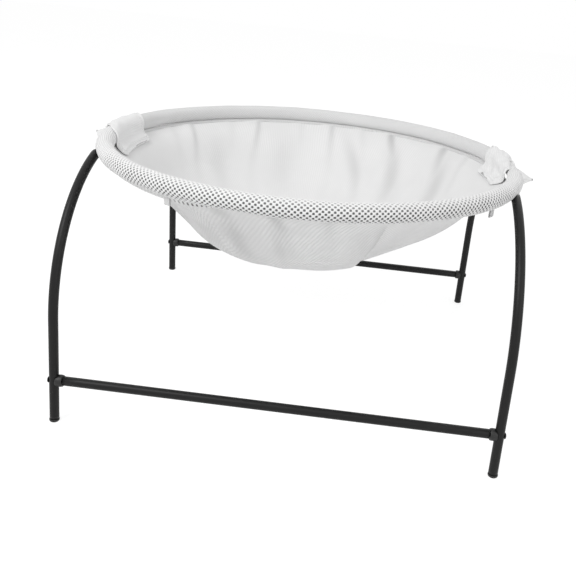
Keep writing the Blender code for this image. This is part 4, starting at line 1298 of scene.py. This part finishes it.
base_arc = np.linspace(BASE_ANGLE, -math.asin(HINGE_GAP / CUFF_RADIUS), 24)
base_line = np.stack([np.cos(base_arc), np.sin(base_arc)], axis=-1) * CUFF_RADIUS
base_line, base_travel = even_line(base_line, 24)
for side_name, edges in FLAP_EDGES.items():
    body = side_name + "_cuff"
    name = side_name + "_padded_"
    flap_top = padded_cuff(
        name + "flap", flap_line, flap_travel, edges, FLAP_SHAPES[side_name], tail_start, body,
        side_name + "_cuff_flap",
    )
    base_edges = tuple((edge,) * len(EDGE_SHARES) for edge in BASE_EDGES[side_name])
    padded_cuff(
        name + "base", base_line, base_travel, base_edges, (0.0, 0.0, 0.0), 1.0, "frame",
        side_name + "_cuff_base",
    )
    outward = unit(np.cross(np.gradient(flap_top, axis=0), np.gradient(flap_top, axis=1)))
    away = flap_top - ring_line(np.radians((edges[0][0] + edges[1][0]) / 2.0))
    outward = outward * np.sign((outward[10:60, 20:50] * away[10:60, 20:50]).sum())
    for column in (16, FLAP_COLUMNS - 12):
        line, normals = flap_top[5:-7, column], outward[5:-7, column]
        stitch_row(side_name + "_flap_stitches_" + str(column), line, normals, body)
print("cuffs", len(FLAP_EDGES))

# %% [markdown]
# ## Ears
#
# Where the front sleeve ends, its cloth is drawn out to a small open point.
# A plain cone would meet the rim at a sharp angle. This one leaves the sleeve
# along the straight line that touches it, is wide along the rim and narrows to
# its tip, where its front is cut back. Its inner face is nearly black: painted
# shade, for the shadow inside the open point.

# %% Ears
EAR_REACH = 0.0105
EAR_CLOTH = 0.0009
EAR_START = 0.0040
EAR_TIP_WIDE, EAR_TIP_HIGH = 0.0024, 0.0015
EAR_CUT = 0.17
EAR_WRINKLE = 0.06
# Painted shade: the ear's inner face, nearly black, for the shadow inside it.
EAR_PAINTED_SHADE = ribbed_cloth("ear_inside_painted_shade", 0.10, 0.06, RIB_WAY, 3.2, 0.00012)
# Each ear: the middle of its base and its tip round the ring, its half width, and
# which way its front faces round the ring
EARS = {"left": (189.6, 184.0, 0.025, 1.0), "right": (355.0, 353.4, 0.026, -1.0)}


def squarer(value):
    """A sine or cosine to the power 0.7, which makes a round section squarer."""
    return np.sign(value) * np.abs(value) ** 0.7


def make_ear(side_name):
    """A cone of cloth between its base's and its open tip's half sizes."""
    base_angle, tip_angle, wide, front = EARS[side_name]
    rows, columns = 40, 48
    along = np.linspace(0.0, 1.0, rows)[:, None]
    turn = np.linspace(0.0, 2.0 * np.pi, columns, endpoint=False)[None, :]
    cut = 1.0 - EAR_CUT * (0.5 + 0.5 * front * np.cos(turn)) * (0.6 + 0.4 * np.sin(turn)) * along
    out = EAR_START + (SLEEVE + EAR_REACH - EAR_START) * along * cut
    sleeve = SLEEVE - END_NARROW * smooth_step(*NARROW_FROM, base_angle)
    touch = math.acos(sleeve / (SLEEVE + EAR_REACH))
    half_high = np.maximum((SLEEVE + EAR_REACH - out) / math.tan(touch), EAR_TIP_HIGH)
    half_wide = EAR_TIP_WIDE + (wide - EAR_TIP_WIDE) * (1.0 - along) ** 1.15
    wrinkle = 1.0 + EAR_WRINKLE * np.cos(5.0 * turn + 3.0 * along) * np.sin(np.pi * along)
    across = half_wide * wrinkle * squarer(np.cos(turn))
    up = (half_high - 0.0002) * wrinkle * squarer(np.sin(turn)) + 0.0006 * along
    middle = np.radians(base_angle + (tip_angle - base_angle) * along**0.8)
    points = ring_line(middle + across / RING_RADIUS, out, up)
    inside = ring_line(middle, out)
    weave = np.stack([across * 1000.0, out * 1000.0, 1.0 + 0.0 * out], axis=-1)
    name = side_name + "_cloth_ear"
    made = surface(name, points, CUFF_CLOTH, inside, wrap=(False, True), weave=weave)
    # The inner face takes the painted shade.
    thicken(made, EAR_CLOTH, -1.0, EAR_PAINTED_SHADE)
    return seat(made, "frame", "spacer_mesh", side_name + "_sleeve_ear")


for side_name in EARS:
    make_ear(side_name)
print("ears", len(EARS))

# %% [markdown]
# ## Pull tabs
#
# Below the front sleeve hang two loops of tape, to pull the cloth over the
# ring. A loop is a strip: a line that goes down, turns and comes up again,
# given a width along the rim and then a thickness.

# %% Pull tabs
TABS = {"left": 241.0, "right": 327.0}
TAB_WIDE = 0.0065
TAB_THICK = 0.0008
TAB_BEND = 0.0012


def make_tab(side_name):
    """A strip of tape that hangs down, turns and goes up again."""
    low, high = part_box(side_name + "_pull_tab")
    angle = math.radians(TABS[side_name])
    radial = np.array([math.cos(angle), math.sin(angle), 0.0])
    tangent = np.array([-math.sin(angle), math.cos(angle), 0.0])
    up = np.array([0.0, 0.0, 1.0])
    length = high.z - low.z
    lowest = TAB_BEND - length
    arc = np.linspace(0.0, math.pi, 13)
    front = np.stack([np.full(10, TAB_BEND), np.linspace(0.0, lowest, 10)], axis=-1)
    turn = np.stack([TAB_BEND * np.cos(arc), lowest - TAB_BEND * np.sin(arc)], axis=-1)
    line = np.vstack([front[:-1], turn, (front * [-1.0, 1.0])[::-1][1:]])
    wide = np.linspace(-0.5, 0.5, 9)
    centre = radial * RING_RADIUS + up * high.z
    points = centre + line[:, None, :1] * radial + line[:, None, 1:] * up
    points = points + (wide * TAB_WIDE)[None, :, None] * tangent
    made = surface(side_name + "_tape_loop", points, TAPE, centre - up * length / 2)
    thicken(made, TAB_THICK, -1.0)
    return seat(made, "frame", "white_tape", side_name + "_pull_tab")


for side_name in TABS:
    make_tab(side_name)
print("tabs", len(TABS))

# %% [markdown]
# ## Fastening patches
#
# A flap stays shut because a hook patch below its tail grips a loop patch on
# the bowl's wall. Both are thin felt strips, and the frame has their curve
# already, so its points are kept and only their angles are moved.

# %% Fastening patches
PATCH_EDGES = {"left": (171.8, 181.0), "right": (6.0, 13.0)}


def make_patch(side_name, kind, body):
    """The frame's own patch, with its angles moved to lie under the flap's tail."""
    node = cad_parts[side_name + kind]
    points = np.array([node.matrix_world @ vertex.co for vertex in node.data.vertices])
    angle = np.degrees(np.arctan2(points[:, 1], points[:, 0])) % 360.0
    moved = np.radians(np.interp(angle, (angle.min(), angle.max()), PATCH_EDGES[side_name]))
    reach = np.hypot(points[:, 0], points[:, 1])
    placed = np.stack([reach * np.cos(moved), reach * np.sin(moved), points[:, 2]], axis=-1)
    mesh = bpy.data.meshes.new(side_name + kind + "_felt")
    mesh.from_pydata(placed.tolist(), [], [list(face.vertices) for face in node.data.polygons])
    return seat(add_object(mesh.name, mesh, LOOP_FELT), body, "white_tape", node.name)


for side_name in PATCH_EDGES:
    make_patch(side_name, "_loop_patch", "frame")
    make_patch(side_name, "_hook_patch", side_name + "_cuff")
print("patches", 2 * len(PATCH_EDGES))

# %% [markdown]
# ## Nodes that keep their own shape
#
# The plugs and threaded pieces inside the tubes are right as the frame has
# them. They only need a finish.

# %% Finishes on the frame's own nodes
for name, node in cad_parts.items():
    if node.hide_render:
        continue
    finish = BLACK_OXIDE if "screw" in name else ZINC
    node.data.materials.clear()
    node.data.materials.append(finish)
    print("kept", name, finish.name)

# %% [markdown]


# %% [markdown]
# ## Floor, light and camera
#
# The floor and the world show white to the camera and to reflections, and
# light the bed at a plain level, so a white cloth keeps its shades of grey.
# Large lamps give soft shadows, and the strongest stands at the left front.

# %% Stage
STAGE_HALF = 6.0
FLOOR_COLOUR, FLOOR_SHADE, FLOOR_WHITE = 0.86, 0.30, 0.82
WORLD_LIGHT = 0.57
stage_mesh = bpy.data.meshes.new("pale_floor")
stage_corners = STAGE_HALF * np.array([(-1, -1, 0), (1, -1, 0), (1, 1, 0), (-1, 1, 0)])
stage_mesh.from_pydata(stage_corners.tolist(), [], [(0, 1, 2, 3)])
add_object("pale_floor", stage_mesh)


def seen_directly(tree):
    """1 for rays from the camera, from gloss or through glass."""
    path = tree.nodes.new("ShaderNodeLightPath").outputs
    seen = maths(tree, "MAXIMUM", path["Is Camera Ray"], path["Is Glossy Ray"])
    return maths(tree, "MAXIMUM", seen, path["Is Transmission Ray"])


floor_material = bpy.data.materials.new("pale_floor")
floor_material.use_nodes = True
tree = floor_material.node_tree
tree.nodes.clear()
seen = seen_directly(tree)
floor_tone = mix_colour(tree, seen, grey(FLOOR_COLOUR), grey(FLOOR_SHADE))
matt = add_node(tree, "ShaderNodeBsdfDiffuse", floor_tone)
glow = add_node(tree, "ShaderNodeEmission", grey(FLOOR_WHITE), seen)
both = add_node(tree, "ShaderNodeAddShader", matt.outputs[0], glow.outputs[0])
add_node(tree, "ShaderNodeOutputMaterial", both.outputs[0])
stage_mesh.materials.append(floor_material)

world = bpy.data.worlds.new("soft_studio")
bpy.context.scene.world = world
world.use_nodes = True
tree = world.node_tree
tree.nodes.clear()
strength = spread(tree, seen_directly(tree), WORLD_LIGHT, 1.0)
sky = add_node(tree, "ShaderNodeBackground", grey(1.0), strength)
add_node(tree, "ShaderNodeOutputWorld", sky.outputs[0])
print("stage ready")


# %% Lamps
def add_lamp(name, place, aim, size, power):
    """A square area lamp at a place, turned to its aim."""
    lamp = bpy.data.lights.new(name, "AREA")
    lamp.size = size
    lamp.energy = power
    made = add_object(name, lamp)
    made.location = place
    made.rotation_euler = (Vector(aim) - Vector(place)).to_track_quat("-Z", "Y").to_euler()
    return made


AIM = (0.0, 0.0, 0.18)
# Each lamp: its place, its size in metres and its power in watts
LAMPS = {
    "key_lamp": ((-0.9, -1.0, 1.6), 0.8, 17.0),
    "fill_lamp": ((1.3, -1.2, 1.0), 1.4, 6.0),
    "back_lamp": ((0.4, 1.6, 1.3), 1.2, 4.0),
}
for name, (place, size, power) in LAMPS.items():
    add_lamp(name, place, AIM, size, power)
print("lamps", len(LAMPS))

# %% [markdown]
# ### Camera
#
# The photograph looks down on the bed from in front, a little to the right,
# and it is turned by a few degrees. The camera's matrix is built from those
# three angles.

# %% Camera
AZIMUTH = math.radians(2.93)
ELEVATION = math.radians(23.444)
ROLL = math.radians(5.459)
DISTANCE = 0.87513
TARGET = np.array([0.02827, 0.0, 0.0894])
LENS = 44.49
SHIFT_X = -0.06326

level = math.cos(ELEVATION)
back = np.array([math.sin(AZIMUTH) * level, -math.cos(AZIMUTH) * level, math.sin(ELEVATION)])
right = np.array([math.cos(AZIMUTH), math.sin(AZIMUTH), 0.0])
up = np.cross(back, right)
rolled_right = math.cos(ROLL) * right + math.sin(ROLL) * up
rolled_up = math.cos(ROLL) * up - math.sin(ROLL) * right
camera = bpy.data.cameras.new("photo_camera")
camera.lens = LENS
camera.sensor_width = 36.0
camera.shift_x = SHIFT_X
camera.clip_start = 0.01
camera_object = add_object("photo_camera", camera)
place = TARGET + back * DISTANCE
columns = np.stack([rolled_right, rolled_up, back, place], axis=-1)
camera_object.matrix_world = Matrix(columns.tolist() + [[0.0, 0.0, 0.0, 1.0]])
bpy.context.scene.camera = camera_object
bpy.context.scene.view_settings.view_transform = "Standard"
print("camera at", np.round(place, 4))

# %% The end
bpy.context.view_layer.update()
